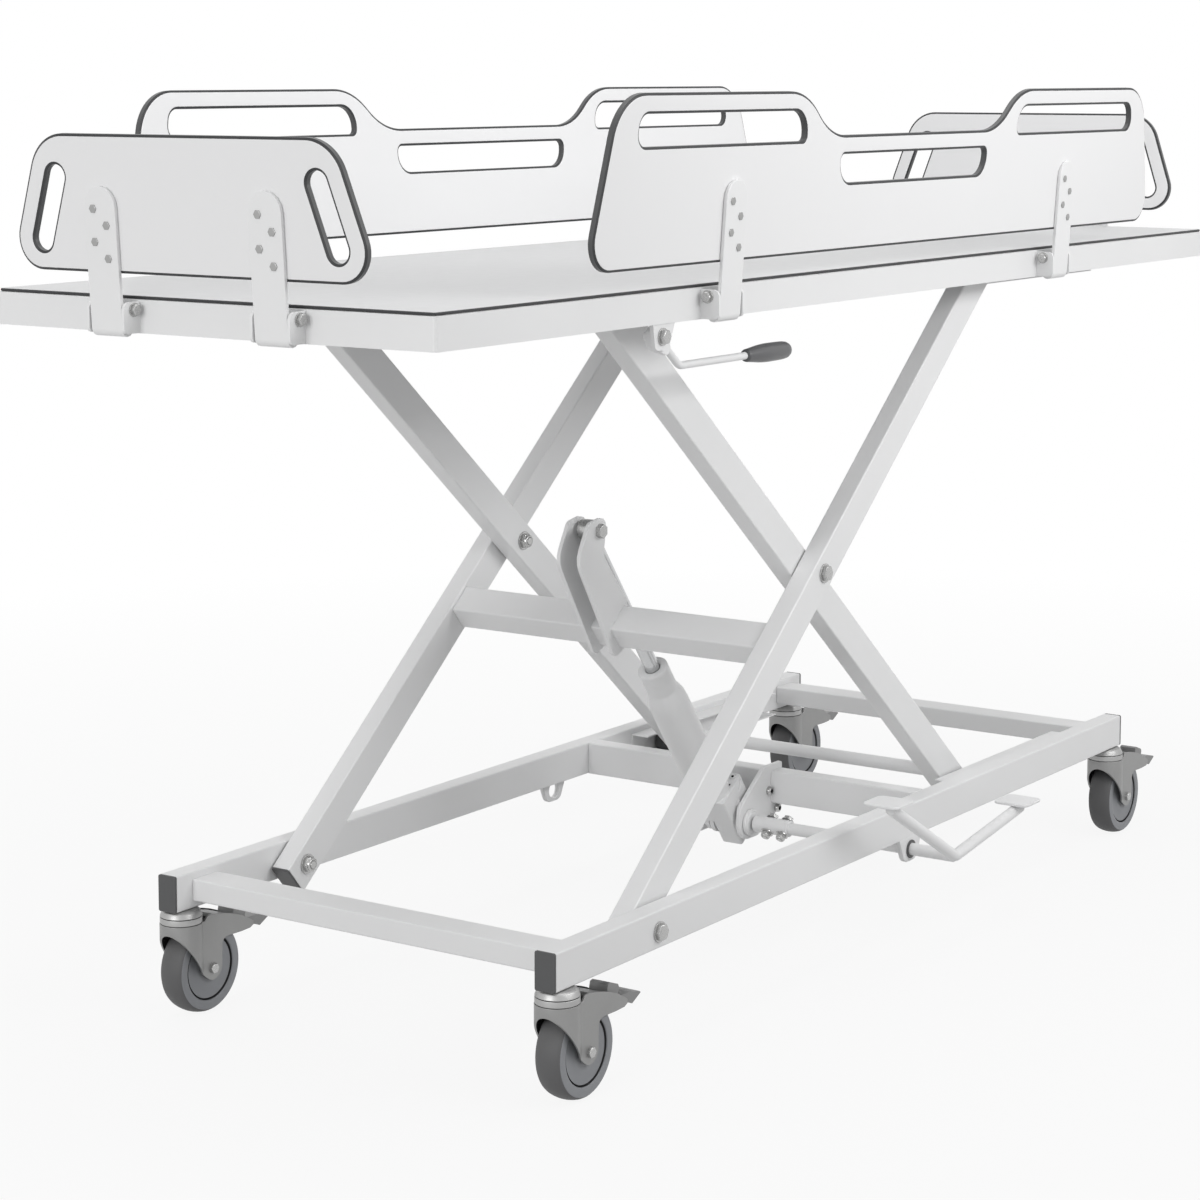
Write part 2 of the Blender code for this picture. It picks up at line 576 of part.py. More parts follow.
def pump():
    """Cast pump block on trunnions, reservoir cylinder bored for the piston rod."""
    across = RAM_AXIS.cross(Y_AXIS)
    place = frame(TRUNNION, Y_AXIS, across)
    shoulder = PUMP_TOP - 0.046
    lap = 0.002
    body = prism("pump_body", block_outline(-BLOCK_NEAR, BLOCK_FAR, -BLOCK_BACK, BLOCK_FRONT, 0.004),
                 place @ Matrix.Translation((0, 0, BLOCK_STEP - lap)), BLOCK_TOP - BLOCK_STEP + lap)
    foot = prism("valve_foot", block_outline(0.0005 - BLOCK_NEAR, 0.002, 0.001 - BLOCK_BACK,
                                             BLOCK_FRONT - 0.001, 0.004),
                 place @ Matrix.Translation((0, 0, -BLOCK_FOOT)), BLOCK_FOOT + BLOCK_STEP)
    reservoir = revolve("reservoir", [
        (0, BLOCK_TOP - lap), (RESERVOIR_RADIUS, BLOCK_TOP - lap), (RESERVOIR_RADIUS, shoulder - 0.030),
        (RESERVOIR_RADIUS - 0.0012, shoulder - 0.016), (GLAND_RADIUS, shoulder),
        (GLAND_RADIUS, PUMP_TOP - 0.002), (GLAND_RADIUS - 0.002, PUMP_TOP), (0, PUMP_TOP)], place, WHITE)
    flank = BRACKET_Y + BRACKET_THICK / 2
    weld(body, foot, reservoir,
         pin("trunnion", TRUNNION_X, TRUNNION_Z, -flank - 0.002, flank + 0.002, TRUNNION_RADIUS, WHITE, 20),
         pin("near_collar", TRUNNION_X, TRUNNION_Z, -flank - 0.0005, -flank - 0.008, 0.020, WHITE, 20),
         pin("far_collar", TRUNNION_X, TRUNNION_Z, flank + 0.0005, flank + 0.008, 0.020, WHITE, 20))
    bore = place @ Matrix.Translation((0, 0, 0.020))
    cut(body, prism("rod_bore", circle(ROD_RADIUS + ROD_PLAY), bore, PUMP_TOP))
    turn_about(body, *TRUNNION)


def piston_rod():
    """Chromed rod with an eye; the eye is bored wide because the ram angle only nearly follows the lift."""
    place = frame(TRUNNION, Y_AXIS, RAM_AXIS.cross(Y_AXIS))
    foot = PUMP_TOP - 0.080
    rod = prism("piston_rod", circle(ROD_RADIUS), place @ Matrix.Translation((0, 0, foot)),
                RAM_LENGTH - foot - EYE_RADIUS * 0.8, CHROME)
    weld(rod, pin("eye", RAM_PIN_X, RAM_PIN_Z, -0.0115, 0.0115, EYE_RADIUS, CHROME, 20))
    cut(rod, pin("eye_bore", RAM_PIN_X, RAM_PIN_Z, -0.03, 0.03, RAM_PIN_RADIUS + EYE_PLAY, CHROME, 20))
    turn_about(rod, *RAM_PIN)


def foot_pedal():
    """Pedal shaft with its coupling sleeve, V bar and two foot plates."""
    sleeve_start = -(BRACKET_Y + BRACKET_THICK / 2) - 0.012
    pedal = pin("foot_pedal", TRUNNION_X, TRUNNION_Z, sleeve_start - 0.002, PEDAL_Y,
                PEDAL_SHAFT_RADIUS, WHITE, 20)
    sleeve = pin("sleeve", TRUNNION_X, TRUNNION_Z, sleeve_start, sleeve_start - SLEEVE_LENGTH,
                 SLEEVE_RADIUS, WHITE, 20)
    vertex = Vector((TRUNNION_X, PEDAL_Y, TRUNNION_Z))
    tips = []
    for length, angle in ((PEDAL_LEFT_ARM, PEDAL_LEFT_ANGLE), (PEDAL_RIGHT_ARM, PEDAL_RIGHT_ANGLE)):
        turn = math.radians(angle)
        tips.append(vertex + Vector((math.cos(turn), 0, math.sin(turn))) * length)
    bar = bent_bar("v_bar", (tips[0], vertex, tips[1]), PEDAL_BAR_RADIUS, 0.020, WHITE)
    weld(pedal, sleeve, bar)
    for tip in tips:
        half = FOOT_PLATE / 2
        place = frame((tip.x, PEDAL_Y + 0.004, tip.z + PEDAL_BAR_RADIUS - 0.002), X_AXIS, Y_AXIS)
        weld(pedal, prism("foot_plate", block_outline(-half, half, -half, half, 0.010), place, 0.004))
    turn_about(pedal, TRUNNION_X, PEDAL_Y, TRUNNION_Z)


def fork_silhouette(x):
    """Side view of the pressed fork: slanted front opening, axle tip and brake wings."""
    low = WHEEL_RADIUS
    shape = [(-0.031, 0.1305), (0.021, 0.1305), (0.025, 0.1362), (0.032, 0.1370), (0.045, 0.1352),
             (0.069, 0.1302), (0.095, 0.1214), (0.119, 0.1080), (0.120, 0.1030), (0.1125, 0.0995),
             (0.093, 0.0988), (0.069, 0.0995), (0.059, 0.0975), (0.055, 0.0920), (0.055, low),
             (0.051, low - 0.010), (0.044, low - 0.015), (0.036, low - 0.017), (0.029, low - 0.015),
             (0.015, 0.0585), (-0.029, 0.1205), (-0.031, 0.1235)]
    return [(x + u, v) for u, v in shape]


def fork_wall(radius, half, steps=10):
    """Plan of one face of the fork: a round front that runs into two flat cheeks."""
    start = math.asin(half / radius)
    turns = [start + (2 * math.pi - 2 * start) * i / steps for i in range(steps + 1)]
    front = [(radius * math.cos(a), radius * math.sin(a)) for a in turns]
    return [(FORK_REACH, half)] + front + [(FORK_REACH, -half)]


def fork(name, x, y):
    r, half = SWIVEL_RADIUS, FORK_HALF
    plan = fork_wall(r, half) + fork_wall(r - FORK_WALL, half - FORK_WALL)[::-1]
    made = prism(name, plan, frame((x, y, 0.040), X_AXIS, Y_AXIS), 0.100, ZINC)
    combine(made, [side_plate("silhouette", fork_silhouette(x), y - 0.05, y + 0.05)], "INTERSECT")
    axle_x = x + CASTER_TRAIL
    weld(made, prism("crown", circle(r - 0.0004, 20), frame((x, y, 0.1272), X_AXIS, Y_AXIS), 0.0033, ZINC),
         pin("axle", axle_x, WHEEL_RADIUS, y - half - 0.003, y + half + 0.003, AXLE_RADIUS),
         hex_head("axle_head", axle_x, WHEEL_RADIUS, y - half + 0.001, y - half - 0.0055, 0.0075),
         hex_head("axle_nut", axle_x, WHEEL_RADIUS, y + half - 0.001, y + half + 0.0065, 0.0075))
    turn_about(made, x, y, 0.1305)


def wheel(name, x, y):
    """Wheel disc and tyre in one profile, dished on both faces and bored for the axle."""
    half, rim, bore = WHEEL_WIDTH / 2, WHEEL_RADIUS, AXLE_RADIUS + 0.0004
    face = [(bore, half + HUB_PROUD), (0.012, half + HUB_PROUD), (0.015, half - 0.002),
            (rim * 0.66, half - 0.002), (rim * 0.70, half), (rim * 0.90, half), (rim * 0.98, half - 0.006)]
    profile = face + [(rim, 0)] + [(r, -h) for r, h in reversed(face)]
    made = revolve(name, profile, frame((x + CASTER_TRAIL, y, WHEEL_RADIUS), X_AXIS, Z_AXIS), TYRE, 20, True)
    turn_about(made, x + CASTER_TRAIL, y, WHEEL_RADIUS)


def brake(name, x, y):
    """Brake rocker between the fork wings with a raised tab and a forward tongue."""
    body = [(0.043, 0.1285), (0.049, 0.1272), (0.067, 0.1205), (0.082, 0.1125), (0.097, 0.1050),
            (0.115, 0.1010), (0.119, 0.1050), (0.095, 0.1195), (0.069, 0.1285), (0.045, 0.1335)]
    inner = FORK_HALF - FORK_WALL - 0.0005
    made = side_plate(name, [(x + u, v) for u, v in body], y - inner, y + inner, ZINC)
    tongue = [(0.102, 0.1060), (0.117, 0.1020), (0.137, 0.0975), (0.140, 0.0950), (0.160, 0.1050),
              (0.157, 0.1070), (0.133, 0.1120), (0.107, 0.1120)]
    tab = [(0.087, 0.1200), (0.111, 0.1100), (0.115, 0.1225), (0.113, 0.1270), (0.095, 0.1335),
           (0.090, 0.1320)]
    weld(made, side_plate("tongue", [(x + u, v) for u, v in tongue], y - 0.017, y + 0.017, ZINC),
         side_plate("tab", [(x + u, v) for u, v in tab], y - 0.014, y + 0.014, ZINC))
    turn_about(made, x + 0.053, y, 0.131)


def casters():
    for name, side in SIDES:
        for end_name, end in ENDS:
            x, y, label = end * CASTER_X, side * RAIL_Y, f"{name}_{end_name}"
            revolve(f"{label}_caster_head", [
                (0, 0.185), (STEM_RADIUS, 0.185), (STEM_RADIUS, 0.1495), (0.021, 0.1495), (0.0255, 0.1478),
                (SWIVEL_RADIUS - 0.0005, 0.1405), (SWIVEL_RADIUS - 0.0005, 0.1312), (0, 0.1312)],
                frame((x, y, 0), X_AXIS, Y_AXIS), ZINC)
            fork(f"{label}_caster_fork", x, y)
            wheel(f"{label}_caster_wheel", x, y)
            brake(f"{label}_caster_brake", x, y)


def hinge_frames():
    """Name, hinge-foot frame and strap offsets of each guard: local X along the hinge, Y up, Z outward."""
    return (("near", frame((GUARD_CENTRE_X, -HALF_WIDTH, 0), X_AXIS, Z_AXIS), LONG_STRAP),
            ("far", frame((GUARD_CENTRE_X, HALF_WIDTH, 0), -X_AXIS, Z_AXIS), LONG_STRAP),
            ("left", frame((-HALF_LENGTH, 0, 0), -Y_AXIS, Z_AXIS), END_STRAP),
            ("right", frame((HALF_LENGTH, 0, 0), Y_AXIS, Z_AXIS), END_STRAP))


def across_plate(name, outline, place, u0, u1, finish=WHITE):
    """Solid from a (height, outward) outline of a guard frame between two positions along the hinge."""
    local = place @ frame((u0, 0, 0), Y_AXIS, Z_AXIS)
    return prism(name, outline, local, u1 - u0, finish)


def hinge_bracket(place, u):
    """Two ears on the skirt with the hinge pin and the locking bolt through them."""
    inner = STRAP_WIDTH / 2 + 0.0012
    low, high, root = SKIRT_BOTTOM + 0.0005, SKIRT_TOP - 0.002, -SHEET / 2
    ear = fillet([(low, root, 0), (low, EAR_DEEP, 0.006), (high, EAR_DEEP, 0.008), (high, root, 0)], 2)
    first = across_plate("ear", ear, place, u - inner - EAR_THICK, u - inner)
    weld(first, across_plate("ear", ear, place, u + inner, u + inner + EAR_THICK),
         across_plate("hinge_pin", circle(HINGE_PIN_RADIUS, 10, (HINGE_Z, HINGE_OUT)), place,
                      u - inner - EAR_THICK + 0.001, u + inner + EAR_THICK - 0.001),
         across_plate("lock_bolt", circle(LOCK_BOLT_RADIUS, 8, (SKIRT_TOP - LOCK_BOLT_DOWN, LOCK_BOLT_OUT)),
                      place, u - inner - 0.001, u + inner + 0.001))
    return first


def arm_seat(side):
    """Block under the table with the fixed pin of an inner arm."""
    start = INNER_ARM_Y + TUBE_THIN / 2 + 0.004
    seat = box("arm_seat", PIVOT_X - 0.022, PIVOT_X + 0.022, side * start, side * (HALF_WIDTH - SHEET * 0.5),
               UPPER_Z - 0.0035, UPPER_Z + 0.022)
    inner = INNER_ARM_Y - TUBE_THIN / 2 - GAP
    pivot = pin("seat_pin", PIVOT_X, UPPER_Z, side * (inner - 0.004), side * (start + 0.010), BOLT_RADIUS)
    return weld(seat, pivot,
                hex_head("seat_nut", PIVOT_X, UPPER_Z, side * (inner - 0.010), side * inner, HEX_RADIUS))


def upper_channel(side):
    """Channel under the table in which the outer arms slide."""
    half = UPPER_SLIDE_HIGH / 2 + SLIDE_PLAY
    top, bottom, leaf = half + CHANNEL_WALL, -half - CHANNEL_WALL, half + CHANNEL_WALL / 5
    lip, web = OUTER_ARM_Y + TUBE_THIN / 2 + 0.0025, OUTER_ARM_Y + TUBE_THIN / 2 + 0.0255
    skirt = HALF_WIDTH - SHEET * 0.5
    section = [(lip, bottom), (web + CHANNEL_WALL, bottom), (web + CHANNEL_WALL, leaf), (skirt, leaf),
               (skirt, top), (lip, top), (lip, half), (web, half), (web, -half), (lip, -half)]
    return prism("upper_channel", [(side * u, v) for u, v in section],
                 frame((UPPER_CHANNEL_START, 0, UPPER_Z), Y_AXIS, Z_AXIS), CHANNEL_END - UPPER_CHANNEL_START)


def table():
    """Folded frame: skirt with an inward top flange, two ribs, arm seats, channels and guard brackets."""
    bottom = SKIRT_BOTTOM
    rim = block_outline(-HALF_LENGTH, HALF_LENGTH, -HALF_WIDTH, HALF_WIDTH, 0.005, 3)
    table_frame = prism("table_frame", rim, frame((0, 0, bottom), X_AXIS, Y_AXIS), SKIRT_HIGH)
    wall_x, wall_y = HALF_LENGTH - SHEET, HALF_WIDTH - SHEET
    cut(table_frame, box("inside", -wall_x, wall_x, -wall_y, wall_y, bottom - 0.01, SKIRT_TOP - SHEET))
    edges = [-HALF_LENGTH + FLANGE]
    for x in RIB_X:
        edges += [x - FLANGE / 2, x + FLANGE / 2]
    edges.append(HALF_LENGTH - FLANGE)
    reach = HALF_WIDTH - FLANGE
    for x0, x1 in zip(edges[::2], edges[1::2]):
        cut(table_frame, box("bay", x0, x1, -reach, reach, bottom, SKIRT_TOP + 0.01))
    for x in RIB_X:
        weld(table_frame, box("rib", x - SHEET / 2, x + SHEET / 2, -wall_y - SHEET / 2, wall_y + SHEET / 2,
                              SKIRT_TOP - 0.028, SKIRT_TOP - SHEET / 2))
    for _, side in SIDES:
        weld(table_frame, arm_seat(side), upper_channel(side))
    for _, place, offset in hinge_frames():
        weld(table_frame, hinge_bracket(place, -offset), hinge_bracket(place, offset))
    weld(table_frame, lever_bracket())
    turn_about(table_frame, PIVOT_X, 0, UPPER_Z)
    x, y = HALF_LENGTH - BOARD_INSET, HALF_WIDTH - BOARD_INSET
    place = frame((0, 0, SKIRT_TOP + GAP), X_AXIS, Y_AXIS)
    board = prism("table_board", block_outline(-x, x, -y, y, 0.004), place, BOARD_THICK, BOARD)
    turn_about(board, PIVOT_X, 0, UPPER_Z)


def mirrored(half):
    """Corners of the +u half followed by their mirror images, in reverse order."""
    return half + [(-u, v, radius) for u, v, radius in reversed(half)]


def long_guard_outline():
    """Guard with a raised hand rail over each end and a dip in the middle; returns outline and slots."""
    outline = fillet(mirrored([
        (LONG_GUARD_FOOT / 2, 0, GUARD_FOOT_BEND), (LONG_GUARD_TOP / 2, LONG_GUARD_HIGH, GUARD_TOP_BEND),
        (DIP_TOP / 2, LONG_GUARD_HIGH, DIP_BEND), (DIP_FOOT / 2, LONG_GUARD_HIGH - DIP_DEEP, DIP_BEND)]))
    low, high, slope = HAND_SLOT_LOW, HAND_SLOT_LOW + HAND_SLOT_HIGH, HAND_SLOT_SLOPE
    slot = [(HAND_SLOT_END + slope, low, 0.016), (HAND_SLOT_END - slope, high, 0.018),
            (HAND_SLOT_START, high, 0.030), (HAND_SLOT_START, low, 0.008)]
    slots = [fillet(slot, 3), fillet([(-u, v, radius) for u, v, radius in reversed(slot)], 3)]
    low, high = MIDDLE_SLOT_LOW, MIDDLE_SLOT_LOW + MIDDLE_SLOT_HIGH
    slots.append(fillet(mirrored([(MIDDLE_SLOT / 2, low, 0.028), (MIDDLE_SLOT / 2, high, 0.009)]), 3))
    return outline, slots


def end_guard_outline():
    """Guard with a slanted hand slot at each end; returns outline and slots."""
    outline = fillet(mirrored([(END_GUARD_FOOT / 2, 0, GUARD_FOOT_BEND),
                               (END_GUARD_TOP / 2, END_GUARD_HIGH, END_GUARD_TOP_BEND)]))
    slots = []
    for side in (-1, 1):
        low, high = (Vector((side * u, v)) for u, v in (END_SLOT_FOOT, END_SLOT_TOP))
        run = (high - low).normalized() * END_SLOT_RADIUS
        out = Vector((run.y, -run.x))
        ends = [low - run - out, low - run + out, high + run + out, high + run - out]
        slots.append(fillet([(end.x, end.y, END_SLOT_RADIUS * 0.99) for end in ends], 4))
    return outline, slots


def strap(name, place, u, finish=WHITE):
    """Hinge strap: flat plate with a round top and a foot curled round the hinge pin."""
    inside = HINGE_PIN_RADIUS + STRAP_PLAY
    outside = inside + STRAP_THICK
    half = STRAP_WIDTH / 2
    top = STRAP_TOP - half
    face = [(u - half, 0), (u + half, 0)] + [(u + half * math.cos(a), top + half * math.sin(a))
                                             for a in (math.pi * i / 8 for i in range(9))]
    made = prism(name, face, place @ Matrix.Translation((0, 0, inside)), STRAP_THICK, finish)
    turns = [math.radians(90 + 225 * i / 8) for i in range(9)]
    hook = [(outside * math.cos(a), outside * math.sin(a)) for a in turns]
    hook += [(inside * math.cos(a), inside * math.sin(a)) for a in reversed(turns)]
    hook += [(0.004, inside), (0.004, outside)]
    return weld(made, across_plate("curl", hook, place, u - half, u + half, finish))


def guards():
    for name, foot, offset in hinge_frames():
        hinge = foot @ Matrix.Translation((0, HINGE_Z, HINGE_OUT))
        lean = hinge @ Matrix.Rotation(math.radians(GUARD_LEAN), 4, "X")
        outline, slots = long_guard_outline() if offset == LONG_STRAP else end_guard_outline()
        back = HINGE_PIN_RADIUS + STRAP_PLAY - GAP - GUARD_THICK
        seat = lean @ Matrix.Translation((0, GUARD_FOOT, back))
        board = prism(f"{name}_guard", outline, seat, GUARD_THICK, LAMINATE, slots)
        turn_about(board, *hinge.translation)
        for label, u in (("a", -offset), ("b", offset)):
            turn_about(strap(f"{name}_guard_strap_{label}", lean, u), *hinge.translation)


def lever_bracket():
    """Plate under the skirt with the bolt of the release lever."""
    y = -HALF_WIDTH + SHEET * 0.5
    outline = fillet([
        (LEVER_X - 0.024, SKIRT_BOTTOM + 0.015, 0), (LEVER_X - 0.016, LEVER_Z - 0.017, 0.008),
        (LEVER_X + 0.014, LEVER_Z - 0.017, 0.008), (LEVER_X + 0.034, SKIRT_BOTTOM + 0.015, 0)], 3)
    plate = side_plate("lever_bracket", outline, y, y + 0.0055)
    return weld(plate, pin("lever_bolt", LEVER_X, LEVER_Z, y - 0.001, y + 0.020, 0.004),
                hex_head("lever_bolt_head", LEVER_X, LEVER_Z, y - 0.0045, y + 0.001, 0.0075),
                hex_head("lever_bolt_nut", LEVER_X, LEVER_Z, y + 0.0185, y + 0.0245, 0.0075))


def release_lever():
    """Bent rod on a bored eye plate, with a grip."""
    y = -HALF_WIDTH + SHEET * 0.5 + 0.0065
    lever = side_plate("release_lever", fillet([
        (LEVER_X - 0.014, LEVER_Z + 0.013, 0.010), (LEVER_X - 0.014, LEVER_Z - 0.014, 0.010),
        (LEVER_X + 0.022, LEVER_Z - 0.026, 0.006), (LEVER_X + 0.030, LEVER_Z - 0.016, 0.006),
        (LEVER_X + 0.014, LEVER_Z + 0.013, 0.010)], 4), y, y + 0.010)
    rod_y = y + 0.005
    low = LEVER_Z - LEVER_DROP
    corners = [(LEVER_X + 0.014, rod_y, LEVER_Z - 0.008), (LEVER_X + LEVER_ELBOW, rod_y, low),
               (LEVER_X + LEVER_REACH, rod_y, low)]
    weld(lever, bent_bar("rod", corners, LEVER_ROD_RADIUS, 0.020, WHITE))
    cut(lever, pin("lever_bore", LEVER_X, LEVER_Z, y - 0.02, y + 0.03, 0.0043))
    turn_about(lever, LEVER_X, rod_y, LEVER_Z)
    grip_start = Vector(corners[-1]) + Vector((GAP, 0, 0))
    shape = ((0, 0), (0.60, 0), (0.68, 0.02), (0.92, 0.28), (1, 0.47), (0.96, 0.86), (0.76, 0.95),
             (0.4, 0.99), (0, 1))
    grip = revolve("lever_grip", [(u * GRIP_RADIUS, v * GRIP_LENGTH) for u, v in shape],
                   frame(grip_start, Y_AXIS, Z_AXIS), DARK)
    turn_about(grip, LEVER_X, rod_y, LEVER_Z)


def centre_on_floor():
    """Move everything so that the bounding box stands centred on the origin."""
    bpy.context.view_layer.update()
    graph = bpy.context.evaluated_depsgraph_get()
    corners = []
    for part in PARTS.objects:
        done = part.evaluated_get(graph)
        corners += [done.matrix_world @ Vector(corner) for corner in done.bound_box]
    shift = Vector((-(min(c.x for c in corners) + max(c.x for c in corners)) / 2,
                    -(min(c.y for c in corners) + max(c.y for c in corners)) / 2,
                    -min(c.z for c in corners)))
    for made in [*PARTS.objects, *TOOLS.objects]:
        made.location += shift


rails()
rail_caps()
cross_tubes()
pivot_bolts()
outer_arms()
lever_crossbar()
inner_arms()
slide_blocks()
pump()
piston_rod()
foot_pedal()
casters()
table()
guards()
release_lever()
centre_on_floor()
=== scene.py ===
"""Picture model of the shower trolley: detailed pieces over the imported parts, materials, light and camera.

Metres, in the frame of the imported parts: X along the trolley, Y across it with the pedal side at -Y, Z up.
"""

import json
import math

import bmesh
import bpy
from mathutils import Matrix, Vector

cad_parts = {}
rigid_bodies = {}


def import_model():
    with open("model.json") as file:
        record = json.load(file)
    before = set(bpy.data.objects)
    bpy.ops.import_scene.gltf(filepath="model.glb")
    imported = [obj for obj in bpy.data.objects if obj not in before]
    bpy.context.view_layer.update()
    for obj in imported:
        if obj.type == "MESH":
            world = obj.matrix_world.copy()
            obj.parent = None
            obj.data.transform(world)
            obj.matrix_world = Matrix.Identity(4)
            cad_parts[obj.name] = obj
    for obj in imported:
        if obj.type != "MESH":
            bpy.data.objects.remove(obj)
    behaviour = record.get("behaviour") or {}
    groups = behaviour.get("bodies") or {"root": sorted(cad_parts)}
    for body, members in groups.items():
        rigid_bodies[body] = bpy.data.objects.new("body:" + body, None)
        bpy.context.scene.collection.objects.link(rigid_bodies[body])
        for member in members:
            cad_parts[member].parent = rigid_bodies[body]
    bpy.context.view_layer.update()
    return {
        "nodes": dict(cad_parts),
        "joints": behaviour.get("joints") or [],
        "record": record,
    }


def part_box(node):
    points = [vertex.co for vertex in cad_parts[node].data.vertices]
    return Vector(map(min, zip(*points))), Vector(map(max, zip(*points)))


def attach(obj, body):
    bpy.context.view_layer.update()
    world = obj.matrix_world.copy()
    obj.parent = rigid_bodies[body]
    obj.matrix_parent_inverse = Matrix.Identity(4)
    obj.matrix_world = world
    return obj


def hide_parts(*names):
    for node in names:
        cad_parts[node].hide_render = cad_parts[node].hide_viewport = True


for old in list(bpy.data.objects):
    bpy.data.objects.remove(old, do_unlink=True)
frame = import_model()

JOINTS = {joint["name"]: joint for joint in frame["joints"]}
BODY_OF = {node: body for body, nodes in frame["record"]["behaviour"]["bodies"].items() for node in nodes}
SLOT_OF = {part["node"]: part["material_slot"] for part in frame["record"]["subparts"]}
X_AXIS, Y_AXIS, Z_AXIS = Vector((1, 0, 0)), Vector((0, 1, 0)), Vector((0, 0, 1))
SIDES = (("near", -1), ("far", 1))
ENDS = (("left", -1), ("right", 1))
GUARDS = ("near", "far", "left", "right")
CASTERS = [f"{side}_{end}" for side, _ in SIDES for end, _ in ENDS]

# Widths of rounded edges, shading, and steps of round forms
EDGE = 0.0007
PLUG_EDGE = 0.0006
BLOCK_EDGE = 0.0010
SHEET_EDGE = 0.0005
BOLT_EDGE = 0.0003
SMALL_BOLT_EDGE = 0.0002
EDGE_SEGMENTS = 2
SHARP_ANGLE = 50
WELD_DISTANCE = 1e-6
FLAT_ANGLE = 0.002
ROUND_STEPS = 48
THIN_STEPS = 32
WHEEL_STEPS = 96
BUMP_DISTANCE = 0.0004
GLOSS_SCALE = 9

# Guards: outlines are (along, up, corner radius), and only one half of those that are symmetrical
GUARD_LEAN = 4.0
GUARD_FOOT = 0.067
GUARD_THICK = 0.010
GUARD_BACK = -0.0057
LONG_GUARD = [(0.7956, 0, 0.038), (0.7455, 0.213, 0.068), (0.310, 0.213, 0.110), (0.240, 0.154, 0.110)]
LONG_SLOT = [(0.704, 0.148, 0.016), (0.697, 0.188, 0.018), (0.307, 0.188, 0.030), (0.307, 0.148, 0.008)]
MIDDLE_SLOT = [(0.210, 0.090, 0.028), (0.210, 0.129, 0.009)]
END_GUARD = [(0.2857, 0, 0.038), (0.2284, 0.165, 0.056)]
END_SLOT = ((0.2285, 0.038), (0.2025, 0.113))
END_SLOT_RADIUS, END_SLOT_ROUND = 0.015, 0.99
CORE_CHAMFER, CORE_DEPTH, CORE_LIP = 0.0032, 0.0018, 0.0008

# Straps and lock bolts of the guards
STRAP_FACE = 0.0096
STRAP_OFFSET = {"near": 0.4775, "far": 0.4775, "left": 0.128, "right": 0.128}
STRAP_BOLTS = ((-0.010, 0.1439), (0.010, 0.1243), (-0.010, 0.1043), (0.010, 0.0847))
STRAP_BOLT_RADIUS, STRAP_BOLT_HEAD, STRAP_BOLT_CHAMFER = 0.0056, 0.0014, 0.18
LOCK_BOLT_UP, LOCK_BOLT_IN = 0.023, 0.005
LOCK_BOLT_RADIUS, LOCK_BOLT_HEAD, LOCK_BOLT_NUT = 0.0072, 0.0064, 0.0080
LOCK_HEAD_SIDE = {"near": -1, "far": -1, "left": 1, "right": 1}
EAR_OUTER = 0.0302

# Table board
BOARD_CORNER, BOARD_CHAMFER = 0.004, 0.0010

# Tubes
TUBE_DEEP, TUBE_THIN, TUBE_WALL = 0.050, 0.030, 0.003
TUBE_RADIUS, TUBE_INNER_RADIUS, TUBE_CORNER_STEPS = 0.0025, 0.0005, 6
TUBE_STEP = 0.06
RAIL_Y, RAIL_Z = 0.308, 0.175
OUTER_ARM_Y, INNER_ARM_Y = 0.275, 0.243
ARM_TAIL, ARM_TOP_END = 0.030, 0.012
OUTER_STUB, INNER_STUB, STUB_ROOT, STUB_RADIUS = 0.023, 0.027, 0.0015, 0.005
CHANNEL = (0.275, 0.680)
CHANNEL_SECTION = ((0.294, -0.0189), (0.262, -0.0189), (0.262, -0.0164), (0.2905, -0.0164),
                   (0.2905, 0.0164), (0.262, 0.0164), (0.262, 0.0189), (0.294, 0.0189))

# Lug of the pedal shaft under each rail
LUG_THICK, LUG_CHAMFER = 0.008, 0.0008
LUG_TOP, LUG_WIDE, LUG_NARROW, LUG_CORNER = 0.1518, 0.034, 0.018, 0.016
LUG_BORE = {-1: 0.0094, 1: 0.0125}

# Pivot bolts of the lift: name, body, joint, and where head and nut stand across the trolley
PIVOT_BOLTS = (("lower_pivot", "base", "lift", 0.3233, 0.2597),
               ("centre", "inner_arms", "scissor", 0.2903, 0.2277))
PIVOT_SHANK, PIVOT_HEX, PIVOT_HEAD, PIVOT_NUT = 0.0068, 0.0115, 0.0080, 0.0115

# Heads of the ram pin on the lever plates: reach from its middle, radius, and where the plates end
PIN_REACH, PIN_RADIUS, PLATES_OUTER = 0.033, 0.0112, 0.0202

# Pump cross tube and its two trunnion plates
PUMP_TUBE_X = 0.165
BRACKET_FACE, BRACKET_THICK = 0.0465, 0.008
BRACKET_BORE, BRACKET_CHAMFER = 0.0153, 0.0010
BRACKET_SCREWS = ((0.143, 0.1704), (0.167, 0.1392))
BRACKET_SCREW_RADIUS, BRACKET_SCREW_HEAD = 0.0066, 0.0062

